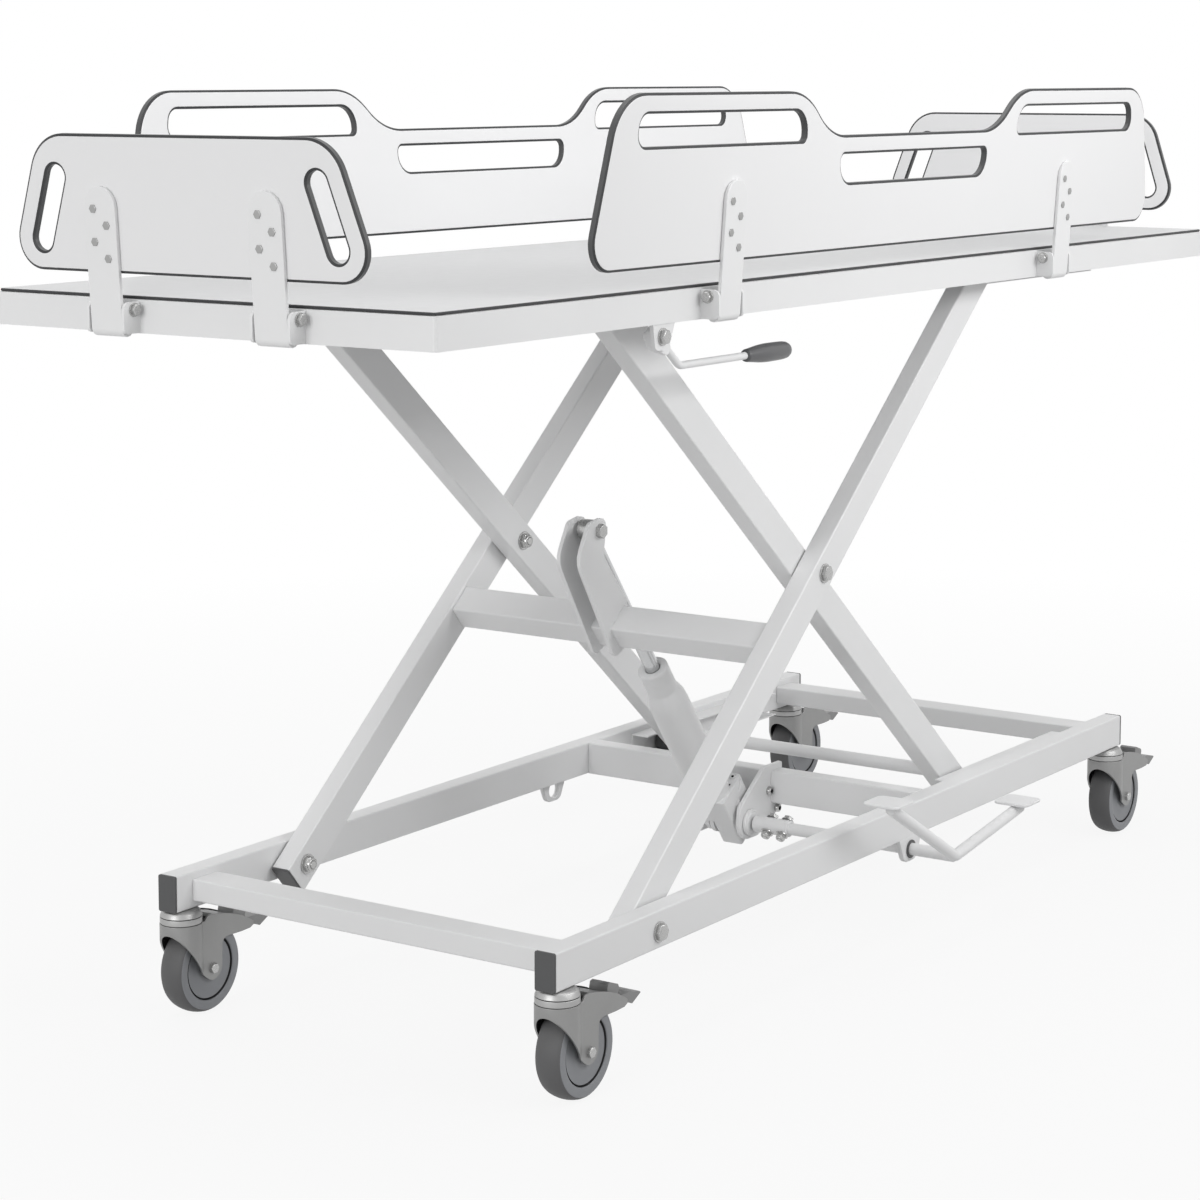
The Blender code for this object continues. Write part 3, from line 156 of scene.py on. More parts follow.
# Pump, from its trunnion up the ram; profiles are (radius, height)
PUMP_TOP = 0.331
PUMP_SHOULDER = PUMP_TOP - 0.046
PUMP_BORE = 0.0116
PUMP_BLOCKS = (((-0.034, 0.031, -0.040, 0.022), 0.016, 0.046), ((-0.0335, 0.002, -0.039, 0.021), -0.031, 0.049))
PUMP_CORNER = 0.004
PUMP_BARREL = [(PUMP_BORE, 0.060), (0.030, 0.060), (0.030, PUMP_SHOULDER - 0.030),
               (0.0288, PUMP_SHOULDER - 0.016), (0.0240, PUMP_SHOULDER - 0.001),
               (0.0232, PUMP_SHOULDER + 0.001), (0.0230, PUMP_SHOULDER + 0.003),
               (0.0230, 0.3050), (0.0226, 0.3054), (0.0226, 0.3060), (0.0230, 0.3064),
               (0.0230, 0.3215), (0.0226, 0.3219), (0.0226, 0.3225), (0.0230, 0.3229),
               (0.0230, 0.3290), (0.0212, PUMP_TOP), (0.0150, PUMP_TOP), (0.0140, PUMP_TOP - 0.0008),
               (PUMP_BORE, PUMP_TOP - 0.0008)]
PUMP_HUB = [(0, 0), (0.0148, 0), (0.0148, 0.0470), (0.020, 0.0470), (0.020, 0.0515), (0.0192, 0.0523),
            (0.0168, 0.0528), (0.0168, 0.0545), (0, 0.0545)]
PUMP_RINGS = ((0.0040, 0.0215), (0.0140, 0.0190), (0.0300, 0.0185))
RING_FLAT, RING_WIDE, RING_CHAMFER = 0.0064, 0.0074, 0.0010
PUMP_PLUGS = ((-0.0235, -0.0325, 0.0048), (-0.0265, -0.0155, 0.0036), (-0.0245, 0.0085, 0.0046))
PLUG_LEVEL = 0.0618
PUMP_TEETH = ((0.046, 0.058, -0.034, -0.020), (0.024, 0.036, -0.012, 0.004))
TOOTH_FACE, TOOTH_DEPTH = -0.0335, 0.0030

# Piston rod and its eye
RAM_LENGTH = 0.6104
ROD_RADIUS, ROD_SUNK, ROD_SHORT = 0.011, 0.080, 0.0125
EYE_PROFILE = [(0.0105, -0.0090), (0.0143, -0.0090), (0.0150, -0.0080), (0.0150, 0.0080), (0.0143, 0.0090),
               (0.0105, 0.0090)]

# Foot pedal: shaft, coupling sleeve, bent bar as (length, angle) of its two arms, and foot plates
SHAFT_RADIUS, SHAFT_SUNK = 0.009, 0.002
SLEEVE = (0.0585, 0.1185)
SLEEVE_RADIUS, SLEEVE_END, SLEEVE_CHAMFER = 0.0125, 0.0118, 0.0008
SLEEVE_BOLTS = (0.083, 0.109)
SLEEVE_NUT, SLEEVE_HEAD = (0.0082, 0.0100), (0.0080, 0.0068)
PEDAL_ARMS = ((0.222, 150.5), (0.212, 8.0))
PEDAL_BAR, PEDAL_BEND, PEDAL_EDGE = 0.0085, 0.020, 0.0011
FOOT_HALF, FOOT_CORNER, FOOT_THICK = 0.028, 0.010, 0.004
FOOT_IN, FOOT_UP = 0.004, 0.0065
BUSH_OUT = 0.323
BUSH_PROFILE = [(0.0093, 0.0003), (0.0135, 0.0003), (0.0135, 0.0014), (0.0125, 0.0020), (0.0093, 0.0020)]

# Release lever, from its pivot: plate corners with their radii, path of the rod, and the grip's profile
LEVER_PLATE = ((-0.014, 0.013, 0.010), (-0.014, -0.014, 0.010), (0.022, -0.026, 0.006), (0.030, -0.016, 0.006),
               (0.014, 0.013, 0.010))
LEVER_THICK, LEVER_EDGE = 0.010, 0.0009
LEVER_PATH = ((0.014, -0.008), (0.055, -0.041), (0.214, -0.041))
LEVER_ROD, LEVER_BEND = 0.005, 0.020
LEVER_BRACKET, LEVER_BOLT_RADIUS, LEVER_BOLT_HEAD = 0.0115, 0.0095, 0.0080
GRIP_PROFILE = ((0, 0.0003), (0.0066, 0.0003), (0.0080, 0.0014), (0.0086, 0.0035), (0.0100, 0.018),
                (0.0115, 0.032), (0.0123, 0.045), (0.0125, 0.055), (0.0124, 0.075), (0.0120, 0.092),
                (0.0112, 0.099), (0.0095, 0.1035), (0.0065, 0.1061), (0.0030, 0.1071), (0, 0.1073))

# Caster fork, side view from the swivel axis: (along, height) of its upper and lower edges
FORK_RADIUS, FORK_HALF, FORK_WALL = 0.029, 0.024, 0.003
FORK_UPPER = ((-0.031, 0.1305), (0.0205, 0.1305), (0.0220, 0.1322), (0.0250, 0.1358), (0.0280, 0.1368),
              (0.0320, 0.1370), (0.0450, 0.1352), (0.0570, 0.1330), (0.0690, 0.1302), (0.0820, 0.1263),
              (0.0950, 0.1214), (0.1070, 0.1152), (0.1190, 0.1080))
FORK_LOWER = ((-0.031, 0.1235), (-0.029, 0.1205), (0.0150, 0.0585), (0.0220, 0.0525), (0.0290, 0.0478),
              (0.0360, 0.0457), (0.0430, 0.0472), (0.0480, 0.0503), (0.0515, 0.0545), (0.0535, 0.0590),
              (0.0543, 0.0640), (0.0552, 0.0915), (0.0562, 0.0945), (0.0590, 0.0975), (0.0630, 0.0990),
              (0.0690, 0.0995), (0.0930, 0.0988), (0.1125, 0.0995), (0.1190, 0.1028))

# Crown plate and axle of the fork
CROWN = [(0, 0.1272), (0.0284, 0.1272), (0.0284, 0.1303), (0, 0.1303)]
AXLE_RADIUS, AXLE_HALF = 0.005, 0.0235
AXLE_BOLT_RADIUS, AXLE_BOLT_SUNK = 0.0075, 0.0005
AXLE_BOLT_HEADS = ((-1, 0.0055), (1, 0.0065))

# Caster brake, side view from the swivel axis: outlines with half their width
BRAKE_ROCKER = ((0.043, 0.1285), (0.049, 0.1272), (0.067, 0.1205), (0.082, 0.1125), (0.097, 0.1050),
                (0.115, 0.1010), (0.119, 0.1050), (0.095, 0.1195), (0.069, 0.1285), (0.045, 0.1335))
BRAKE_TONGUE = ((0.102, 0.1060), (0.117, 0.1020), (0.137, 0.0975), (0.140, 0.0950), (0.160, 0.1050),
                (0.157, 0.1070), (0.133, 0.1120), (0.107, 0.1120))
BRAKE_TAB = ((0.087, 0.1200), (0.111, 0.1100), (0.115, 0.1225), (0.113, 0.1270), (0.095, 0.1335),
             (0.090, 0.1320))
BRAKE_PARTS = ((BRAKE_ROCKER, 0.0205), (BRAKE_TONGUE, 0.017), (BRAKE_TAB, 0.014))
BRAKE_EDGE = 0.0008

# Caster head and wheel: profiles with one material for each segment
HEAD_PROFILE = [(0, 0.1312), (0.0280, 0.1312), (0.0285, 0.1318), (0.0285, 0.1385), (0.0279, 0.1391),
                (0.0274, 0.1394), (0.0274, 0.1400), (0.0283, 0.1405), (0.0283, 0.1414), (0.0262, 0.1462),
                (0.0250, 0.1481), (0.0232, 0.1490), (0.0210, 0.1495), (0.011, 0.1495), (0.011, 0.185), (0, 0.185)]
# Head segments: 0 turned zinc, 1 the groove in painted shade
HEAD_COLOURS = [0] * 4 + [1, 1] + [0] * 9
WHEEL_RADIUS = 0.0625
WHEEL_SIDE = [(0.0054, 0.0202), (0.0110, 0.0202), (0.0120, 0.0192), (0.0130, 0.0174), (0.0270, 0.0170),
              (0.0285, 0.0160), (0.0402, 0.0160), (0.0412, 0.0166), (0.0420, 0.0166), (0.0424, 0.0122),
              (0.0442, 0.0122), (0.0446, 0.0178), (0.0456, 0.0188), (0.0470, 0.0190), (0.0560, 0.0190),
              (0.0572, 0.0185), (0.0588, 0.0168), (0.0604, 0.0136), (0.0616, 0.0090), (0.0623, 0.0042)]
# Wheel segments: 0 face, 1 tread, 2 the groove in painted shade
WHEEL_COLOURS = [0] * 8 + [2] * 3 + [0] * 4 + [1] * 4

# Camera
EYE = Vector((-3.6958, -2.3355, 1.2636))
YAW, PITCH = 34.291, 6.0
LENS, SENSOR = 89.499, 36.0
SHIFT_Y = -0.1791

# Floor: share of plain white near the trolley, and the distances between which it grows to all white
FLOOR_GLOW = 0.90
FADE = (1.1, 3.2)
FLOOR_HALF = 30

# Light of the surroundings
SKY_STRENGTH = 0.56


def pivot(joint):
    """Place of a joint at rest."""
    return Vector(JOINTS[joint]["pos_m"])


MIDDLE_Y = pivot("lift").y
TRUNNION = pivot("pump_tilt")
RAM_AXIS = Vector(JOINTS["ram_slide"]["axis"]).normalized()
RAM_PIN = TRUNNION + RAM_AXIS * RAM_LENGTH


def local_frame(origin, x_axis, y_axis):
    """Matrix whose local Z is x_axis cross y_axis."""
    x_axis, y_axis = Vector(x_axis).normalized(), Vector(y_axis).normalized()
    made = Matrix((x_axis, y_axis, x_axis.cross(y_axis))).transposed().to_4x4()
    made.translation = Vector(origin)
    return made


def along(origin, axis):
    """Frame at origin whose local Z runs along axis."""
    made = Vector(axis).to_track_quat("Z", "Y").to_matrix().to_4x4()
    made.translation = Vector(origin)
    return made


# Materials

def noise(nodes, links, coords, scale, detail):
    """Noise texture in the object's own coordinates."""
    texture = nodes.new("ShaderNodeTexNoise")
    texture.inputs["Scale"].default_value = scale
    texture.inputs["Detail"].default_value = detail
    links.new(coords.outputs["Object"], texture.inputs["Vector"])
    return texture


def surface(name, colour, roughness, metallic=0.0, mottle=0.02, grain=900.0, bump=0.04, patch=6.0,
            sheen=0.06, specular=0.5):
    """Principled material with faint mottling, uneven gloss and a fine raised grain."""
    made = bpy.data.materials.new(name)
    made.use_nodes = True
    nodes, links = made.node_tree.nodes, made.node_tree.links
    shader = nodes["Principled BSDF"]
    shader.inputs["Metallic"].default_value = metallic
    shader.inputs["Specular IOR Level"].default_value = specular
    coords = nodes.new("ShaderNodeTexCoord")

    shade = nodes.new("ShaderNodeMix")
    shade.data_type = "RGBA"
    shade.inputs["A"].default_value = (*[c * (1 - mottle) for c in colour], 1)
    shade.inputs["B"].default_value = (*[min(1, c * (1 + mottle)) for c in colour], 1)
    links.new(noise(nodes, links, coords, patch, 3).outputs["Fac"], shade.inputs["Factor"])
    links.new(shade.outputs["Result"], shader.inputs["Base Color"])

    gloss = nodes.new("ShaderNodeMapRange")
    gloss.inputs["To Min"].default_value = roughness - sheen
    gloss.inputs["To Max"].default_value = roughness + sheen
    links.new(noise(nodes, links, coords, patch * GLOSS_SCALE, 2).outputs["Fac"], gloss.inputs["Value"])
    links.new(gloss.outputs["Result"], shader.inputs["Roughness"])

    raised = nodes.new("ShaderNodeBump")
    raised.inputs["Strength"].default_value = bump
    raised.inputs["Distance"].default_value = BUMP_DISTANCE
    links.new(noise(nodes, links, coords, grain, 2).outputs["Fac"], raised.inputs["Height"])
    links.new(raised.outputs["Normal"], shader.inputs["Normal"])
    return made


WHITE = surface("powder_coat", (0.785, 0.787, 0.79), 0.36, grain=700, bump=0.05)
LAMINATE = surface("laminate_face", (0.79, 0.79, 0.795), 0.34, mottle=0.008, grain=1500, bump=0.03)
BOARD = surface("board_face", (0.56, 0.563, 0.567), 0.42, mottle=0.012, grain=1400, bump=0.08)
CORE = surface("laminate_core", (0.042, 0.043, 0.045), 0.45, mottle=0.20, patch=160, bump=0.12,
               specular=0.25)
# Painted sheen: a lighter copy of the core colour for the guards' flat edges
PAINTED_SHEEN_CORE = surface("laminate_edge_painted_sheen", (0.075, 0.076, 0.078), 0.36, mottle=0.10, patch=120, bump=0.06,
                    specular=0.4)
DARK = surface("moulded_plastic", (0.075, 0.076, 0.078), 0.48, mottle=0.06, grain=1600, bump=0.14)
GRIP = surface("grip_rubber", (0.095, 0.096, 0.100), 0.30, mottle=0.06, grain=1800, bump=0.05)
ZINC = surface("pressed_zinc", (0.31, 0.31, 0.308), 0.42, 0.70, mottle=0.05, patch=30, bump=0.05)
BRAKE = surface("brake_steel", (0.25, 0.25, 0.25), 0.44, 0.60, mottle=0.05, patch=30, bump=0.05)
RACE = surface("turned_zinc", (0.42, 0.42, 0.417), 0.44, 0.85, mottle=0.02, patch=40, bump=0.01)
BOLT = surface("dull_bolt", (0.36, 0.36, 0.357), 0.34, 0.75)
BRIGHT = surface("bright_zinc", (0.47, 0.47, 0.466), 0.28, 0.90, mottle=0.04, patch=60, bump=0.03)
# Painted shade: near-black steel put where shade falls, inside the forks, under their crowns, in the grooves of
# wheels and caster heads, and in sockets
PAINTED_SHADE = surface("painted_shade", (0.035, 0.035, 0.036), 0.60, 0.3, mottle=0.10, patch=60, bump=0.05)
TREAD = surface("tyre_tread", (0.105, 0.105, 0.107), 0.62, mottle=0.06, grain=1200, bump=0.20)
WHEEL = surface("wheel_face", (0.250, 0.257, 0.272), 0.46, mottle=0.03, grain=1200, bump=0.06)
CHROME = surface("satin_chrome", (0.56, 0.565, 0.57), 0.26, 0.90, mottle=0.02, patch=40, bump=0.01,
                 sheen=0.03)
FINISHES = {"white_powder_coat": WHITE, "white_laminate": LAMINATE, "grey_laminate": BOARD,
            "dark_plastic": DARK, "zinc_plate": ZINC, "grey_tyre": WHEEL, "chrome_rod": CHROME}


# Building blocks: each adds closed solids to a bmesh

def paint(faces, index):
    """Give faces one of their piece's materials."""
    for face in faces:
        face.material_index = index


def lathe(bm, profile, place, index=0, steps=ROUND_STEPS, closed=False):
    """Turn a (radius, height) profile about local Z; index may be a list with one entry for each segment."""
    rings = []
    for radius, height in profile:
        count = 1 if radius < 1e-7 else steps
        turns = (2 * math.pi * k / steps for k in range(count))
        rings.append([bm.verts.new(place @ Vector((radius * math.cos(t), radius * math.sin(t), height)))
                      for t in turns])
    pairs = list(zip(rings, rings[1:] + rings[:1] if closed else rings[1:]))
    for segment, (lower, upper) in enumerate(pairs):
        colour = index if isinstance(index, int) else index[segment]
        for k in range(steps):
            corners = [lower[k % len(lower)], lower[(k + 1) % len(lower)],
                       upper[(k + 1) % len(upper)], upper[k % len(upper)]]
            corners = list(dict.fromkeys(corners))
            if len(corners) > 2:
                bm.faces.new(corners).material_index = colour


def rod(bm, start, end, radius):
    """Round bar between two points."""
    start, end = Vector(start), Vector(end)
    length = (end - start).length
    lathe(bm, [(0, 0), (radius, 0), (radius, length), (0, length)], along(start, end - start))


def prism(bm, outline, place, depth):
    """Flat outline in the local XY plane pushed along local Z."""
    low = [bm.verts.new(place @ Vector((u, v, 0))) for u, v in outline]
    high = [bm.verts.new(place @ Vector((u, v, depth))) for u, v in outline]
    bm.faces.new(low)
    bm.faces.new(high)
    for k in range(len(outline)):
        bm.faces.new((low[k - 1], low[k], high[k], high[k - 1]))


def hexagon(bm, place, radius, height, index=0, chamfer=0.12):
    """Hexagon head with a chamfered top face."""
    rings = []
    flats = height * 0.78
    for reach, level in ((radius, 0), (radius, flats), (radius * (1 - chamfer), height)):
        turns = (math.pi * k / 3 for k in range(6))
        rings.append([bm.verts.new(place @ Vector((reach * math.cos(t), reach * math.sin(t), level)))
                      for t in turns])
    faces = [bm.faces.new(rings[0]), bm.faces.new(rings[-1])]
    for lower, upper in zip(rings, rings[1:]):
        for k in range(6):
            faces.append(bm.faces.new((lower[k - 1], lower[k], upper[k], upper[k - 1])))
    paint(faces, index)


def washer(bm, place, radius, thick):
    """Washer at the local origin; gives the frame for the hexagon that stands slightly sunk in it."""
    lathe(bm, [(0, 0), (radius, 0), (radius, thick), (0, thick)], place)
    return place @ Matrix.Translation((0, 0, thick * 0.98))


def hex_bolt(bm, place, radius, height):
    """Hexagon head standing on a washer, at the local origin and up along local Z."""
    thick = height * 0.22
    hexagon(bm, washer(bm, place, radius * 1.18, thick), radius, height - thick)


def lock_nut(bm, place, radius, height):
    """Self-locking nut: hexagon with a domed collar and the bolt end showing in it."""
    thick, flats = height * 0.16, height * 0.52
    hexagon(bm, washer(bm, place, radius * 1.2, thick), radius, flats)
    collar, top = thick + flats * 0.9, height - 0.0006
    shoulder, sunk = top - 0.0008, top - 0.0012
    lathe(bm, [(0, collar), (radius * 0.84, collar), (radius * 0.80, shoulder), (radius * 0.70, top),
               (radius * 0.56, top), (radius * 0.56, sunk), (radius * 0.50, sunk), (radius * 0.46, height),
               (0, height)], place)


def socket_screw(bm, place, radius, height):
    """Round head in material 0 with a sunk socket in material 1."""
    sunk = height * 0.45
    lathe(bm, [(0, 0), (radius, 0), (radius, height * 0.55), (radius * 0.86, height * 0.9),
               (radius * 0.66, height), (radius * 0.52, height), (radius * 0.50, sunk), (0, sunk)],
          place, [0] * 5 + [1] * 2, THIN_STEPS)


def sweep(bm, path, radius, steps=THIN_STEPS):
    """Round bar along a 3-D path."""
    rings = []
    side = None
    for k, here in enumerate(path):
        ahead = (path[min(k + 1, len(path) - 1)] - path[max(k - 1, 0)]).normalized()
        side = (ahead.orthogonal() if side is None else side - ahead * side.dot(ahead)).normalized()
        other = ahead.cross(side)
        rings.append([bm.verts.new(here + (side * math.cos(t) + other * math.sin(t)) * radius)
                      for t in (2 * math.pi * i / steps for i in range(steps))])
    bm.faces.new(rings[0])
    bm.faces.new(rings[-1])
    for lower, upper in zip(rings, rings[1:]):
        for i in range(steps):
            bm.faces.new((lower[i - 1], lower[i], upper[i], upper[i - 1]))


def rounded_path(corners, bend, steps=14):
    """3-D path through corners that are rounded off by curves."""
    path = [Vector(corners[0])]
    for before, here, after in zip(corners, corners[1:], corners[2:]):
        here = Vector(here)
        back, ahead = (Vector(before) - here).normalized(), (Vector(after) - here).normalized()
        reach = bend / math.tan(back.angle(ahead) / 2)
        for k in range(steps + 1):
            t = k / steps
            path.append(here + back * reach * (1 - t) ** 2 + ahead * reach * t ** 2)
    path.append(Vector(corners[-1]))
    return path


def fillet(corners, steps=12):
    """Outline from (u, v, radius) corners."""
    points = []
    for i, (u, v, radius) in enumerate(corners):
        here = Vector((u, v))
        back = (Vector(corners[i - 1][:2]) - here).normalized()
        ahead = (Vector(corners[(i + 1) % len(corners)][:2]) - here).normalized()
        half = back.angle(ahead) / 2
        if radius == 0 or abs(half - math.pi / 2) < 1e-4:
            points.append(here)
            continue
        centre = here + (back + ahead).normalized() * radius / math.sin(half)
        start = here + back * radius / math.tan(half) - centre
        sweep_angle = start.angle_signed(here + ahead * radius / math.tan(half) - centre)
        for k in range(steps + 1):
            points.append(centre + Matrix.Rotation(-sweep_angle * k / steps, 2) @ start)
    return points


def block_outline(u0, u1, v0, v1, radius, steps=8):
    """Rectangle with rounded corners."""
    return fillet([(u0, v0, radius), (u1, v0, radius), (u1, v1, radius), (u0, v1, radius)], steps)


def wound(outline, direction):
    """Outline with its corners in the given turning direction, +1 counter-clockwise."""
    area = sum(a.x * b.y - b.x * a.y for a, b in zip(outline, outline[1:] + outline[:1]))
    return outline if area * direction > 0 else outline[::-1]


def inset(outline, distance):
    """Outline moved to its left by a distance."""
    moved = []
    for k, here in enumerate(outline):
        before, after = here - outline[k - 1], outline[(k + 1) % len(outline)] - here
        first, second = (Vector((-run.y, run.x)).normalized() for run in (before, after))
        moved.append(here + (first + second) * distance / (1 + first.dot(second)))
    return moved


def panel(bm, outline, holes, place, thick, chamfer, depth=None):
    """Sheet with chamfered edges: faces and their lips take material 0, chamfers 1 and the flat edge 2."""
    contours = [wound(outline, 1)] + [wound(hole, -1) for hole in holes]
    lip = min(CORE_LIP, chamfer / 2)
    half = ((chamfer + lip, 0), (chamfer, lip / 2), (0, depth or chamfer))
    levels = half + tuple((distance, thick - level) for distance, level in reversed(half))
    colours = (0, 1, 2, 1, 0)
    rims = [[], []]
    for contour in contours:
        rings = []
        for distance, level in levels:
            flat = inset(contour, distance) if distance else contour
            rings.append([bm.verts.new(place @ Vector((u, v, level))) for u, v in flat])
        for colour, lower, upper in zip(colours, rings, rings[1:]):
            for k in range(len(contour)):
                bm.faces.new((lower[k - 1], lower[k], upper[k], upper[k - 1])).material_index = colour
        for rim, ring in zip(rims, (rings[0], rings[-1])):
            rim += [bm.edges.get((ring[k - 1], ring[k])) for k in range(len(ring))]
    for rim in rims:
        bmesh.ops.triangle_fill(bm, edges=rim, use_beauty=True)


def circle(centre, radius, steps=40):
    """Round outline."""
    u, v = centre
    turns = (2 * math.pi * k / steps for k in range(steps))
    return [Vector((u + radius * math.cos(t), v + radius * math.sin(t))) for t in turns]


def tube(bm, place, length, wide, high):
    """Rounded box tube along local Z, centred on the local origin."""
    u, v = wide / 2, high / 2
    outer = block_outline(-u, u, -v, v, TUBE_RADIUS, TUBE_CORNER_STEPS)
    inner = block_outline(TUBE_WALL - u, u - TUBE_WALL, TUBE_WALL - v, v - TUBE_WALL, TUBE_INNER_RADIUS,
                          TUBE_CORNER_STEPS)
    count = max(1, round(length / TUBE_STEP))
    stations = [length * k / count for k in range(count + 1)]
    loops = [(outer, level) for level in stations] + [(inner, level) for level in reversed(stations)]
    rings = [[bm.verts.new(place @ Vector((a, b, level))) for a, b in ring] for ring, level in loops]
    for lower, upper in zip(rings, rings[1:] + rings[:1]):
        for k in range(len(outer)):
            bm.faces.new((lower[k - 1], lower[k], upper[k], upper[k - 1]))


# Pieces

def piece(name, bm, finishes, body, nodes=(), edge=EDGE, clamp=False):
    """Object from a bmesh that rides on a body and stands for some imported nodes."""
    bmesh.ops.recalc_face_normals(bm, faces=bm.faces)
    for face in bm.faces:
        face.smooth = True
    mesh = bpy.data.meshes.new(name)
    bm.to_mesh(mesh)
    bm.free()
    if not edge:
        mesh.set_sharp_from_angle(angle=math.radians(SHARP_ANGLE))
    for finish in finishes:
        mesh.materials.append(finish)
    made = bpy.data.objects.new(name, mesh)
    bpy.context.scene.collection.objects.link(made)
    if edge:
        rounding = made.modifiers.new("Edges", "BEVEL")
        rounding.width, rounding.segments = edge, EDGE_SEGMENTS
        rounding.limit_method, rounding.angle_limit = "ANGLE", math.radians(SHARP_ANGLE)
        rounding.use_clamp_overlap = clamp
    normals = made.modifiers.new("Normals", "WEIGHTED_NORMAL")
    normals.keep_sharp = True
    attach(made, body)
    if nodes:
        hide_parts(*nodes)


def copied(node):
    """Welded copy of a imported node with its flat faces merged."""
    bm = bmesh.new()
    bm.from_mesh(frame["nodes"][node].data)
    bmesh.ops.remove_doubles(bm, verts=bm.verts, dist=WELD_DISTANCE)
    bmesh.ops.dissolve_limit(bm, angle_limit=FLAT_ANGLE, verts=bm.verts, edges=bm.edges)
    paint(bm.faces, 0)
    return bm


def refined(node, edge=EDGE, hardware=None, clamp=False):
    """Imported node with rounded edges; faces that pass the hardware test become bare metal."""
    bm = copied(node)
    if hardware:
        paint([face for face in bm.faces if hardware(face.calc_center_median())], 1)
    finishes = [FINISHES[SLOT_OF[node]], BRIGHT]
    piece(f"{node}_look", bm, finishes, BODY_OF[node], [node], edge, clamp)


def painted(node, bm, edge=EDGE):
    """Powder-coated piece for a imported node; its panels use three materials, all of them white."""
    piece(f"{node}_look", bm, [WHITE] * 3, BODY_OF[node], [node], edge)


def rail(name, side):
    """Base rail with the channel of the lower slide and the lug of the pedal shaft."""
    node = f"{name}_rail"
    low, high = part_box(node)
    bm = bmesh.new()
    tube(bm, local_frame((low.x, MIDDLE_Y + side * RAIL_Y, RAIL_Z), Y_AXIS, Z_AXIS), high.x - low.x,
         TUBE_THIN, TUBE_DEEP)
    start, end = CHANNEL
    prism(bm, [(side * u, v) for u, v in CHANNEL_SECTION],
          local_frame((start, MIDDLE_Y, pivot("lift").z), Y_AXIS, Z_AXIS), end - start)
    x, z = TRUNNION.x, TRUNNION.z
    outline = fillet([(x - LUG_WIDE, LUG_TOP, 0), (x - LUG_NARROW, z - LUG_NARROW, LUG_CORNER),
                      (x + LUG_NARROW, z - LUG_NARROW, LUG_CORNER), (x + LUG_WIDE, LUG_TOP, 0)])
    outer = side * (RAIL_Y + TUBE_THIN / 2)
    place = local_frame((0, MIDDLE_Y + max(outer, outer - side * LUG_THICK), 0), X_AXIS, Z_AXIS)
    panel(bm, outline, [circle((x, z), LUG_BORE[side])], place, LUG_THICK, LUG_CHAMFER)
    painted(node, bm)


def arm(name, side, kind, start, y, tail, top, stub):
    """Scissor arm with the stub that carries its slide block."""
    node = f"{name}_{kind}_arm"
    centre = pivot("scissor")
    run = (centre - start).normalized()
    reach = 2 * (centre - start).length
    bm = bmesh.new()
    place = local_frame(start - run * tail + Y_AXIS * side * y, Y_AXIS, run.cross(Y_AXIS))
    tube(bm, place, reach + tail + top, TUBE_THIN, TUBE_DEEP)
    end, face = start + run * reach, y + TUBE_THIN / 2
    rod(bm, end + Y_AXIS * side * (face - STUB_ROOT), end + Y_AXIS * side * (face + stub), STUB_RADIUS)
    painted(node, bm)


def pump_cross_tube():
    """Upright cross tube with the two plates that carry the pump's trunnion."""
    low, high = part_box("pump_cross_tube")
    bm = bmesh.new()
    tube(bm, local_frame((PUMP_TUBE_X, high.y, RAIL_Z), X_AXIS, Z_AXIS), high.y - low.y, TUBE_THIN, TUBE_DEEP)
    x, z = TRUNNION.x, TRUNNION.z
    front, back = PUMP_TUBE_X - TUBE_THIN / 2, PUMP_TUBE_X + TUBE_THIN / 2
    bottom, top = RAIL_Z - TUBE_DEEP / 2, RAIL_Z + TUBE_DEEP / 2
    outline = fillet([
        (x - 0.025, z + 0.026, 0.024), (x - 0.027, z - 0.026, 0.026), (x + 0.028, z - 0.026, 0.022),
        (back + 0.004, bottom - 0.010, 0.004), (back + 0.004, bottom + 0.002, 0),
        (front + 0.002, bottom + 0.002, 0), (front + 0.002, top - 0.002, 0), (back + 0.004, top - 0.002, 0),
        (back + 0.004, top + 0.009, 0.003), (front - 0.018, top + 0.009, 0.006)])
    for face in (BRACKET_FACE, BRACKET_THICK - BRACKET_FACE):
        plate = local_frame((0, MIDDLE_Y + face, 0), X_AXIS, Z_AXIS)
        panel(bm, outline, [circle((x, z), BRACKET_BORE)], plate, BRACKET_THICK, BRACKET_CHAMFER)
    painted("pump_cross_tube", bm)


def on_ram_pin(at):
    """True for a point on the ram pin's heads, outside the lever plates."""
    offset = at - RAM_PIN
    return (offset.length < PIN_REACH and math.hypot(offset.x, offset.z) < PIN_RADIUS
            and abs(at.y - MIDDLE_Y) > PLATES_OUTER)


def frame_tubes():
    """Rails, arms, cross tubes, bars, and the plastic parts in them."""
    for name, side in SIDES:
        rail(name, side)
        arm(name, side, "outer", pivot("lift"), OUTER_ARM_Y, ARM_TAIL, ARM_TOP_END, OUTER_STUB)
        arm(name, side, "inner", pivot("table_level"), INNER_ARM_Y, ARM_TOP_END, ARM_TAIL, INNER_STUB)
        refined(f"{name}_arm_plug", PLUG_EDGE)
        for level in ("upper", "lower"):
            refined(f"{name}_{level}_slide", BLOCK_EDGE)
        for end, _ in ENDS:
            refined(f"{name}_{end}_rail_cap", PLUG_EDGE)
    for end, _ in ENDS:
        node = f"{end}_cross_tube"
        low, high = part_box(node)
        bm = bmesh.new()
        tube(bm, local_frame(((low.x + high.x) / 2, high.y, RAIL_Z), X_AXIS, Z_AXIS), high.y - low.y,
             TUBE_DEEP, TUBE_THIN)
        painted(node, bm)
    pump_cross_tube()
    refined("lever_crossbar", SHEET_EDGE, hardware=on_ram_pin)
    bm = bmesh.new()
    low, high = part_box("tie_bar")
    centre = (low + high) / 2
    rod(bm, (centre.x, low.y, centre.z), (centre.x, high.y, centre.z), (high.z - low.z) / 2)
    painted("tie_bar", bm, 0)


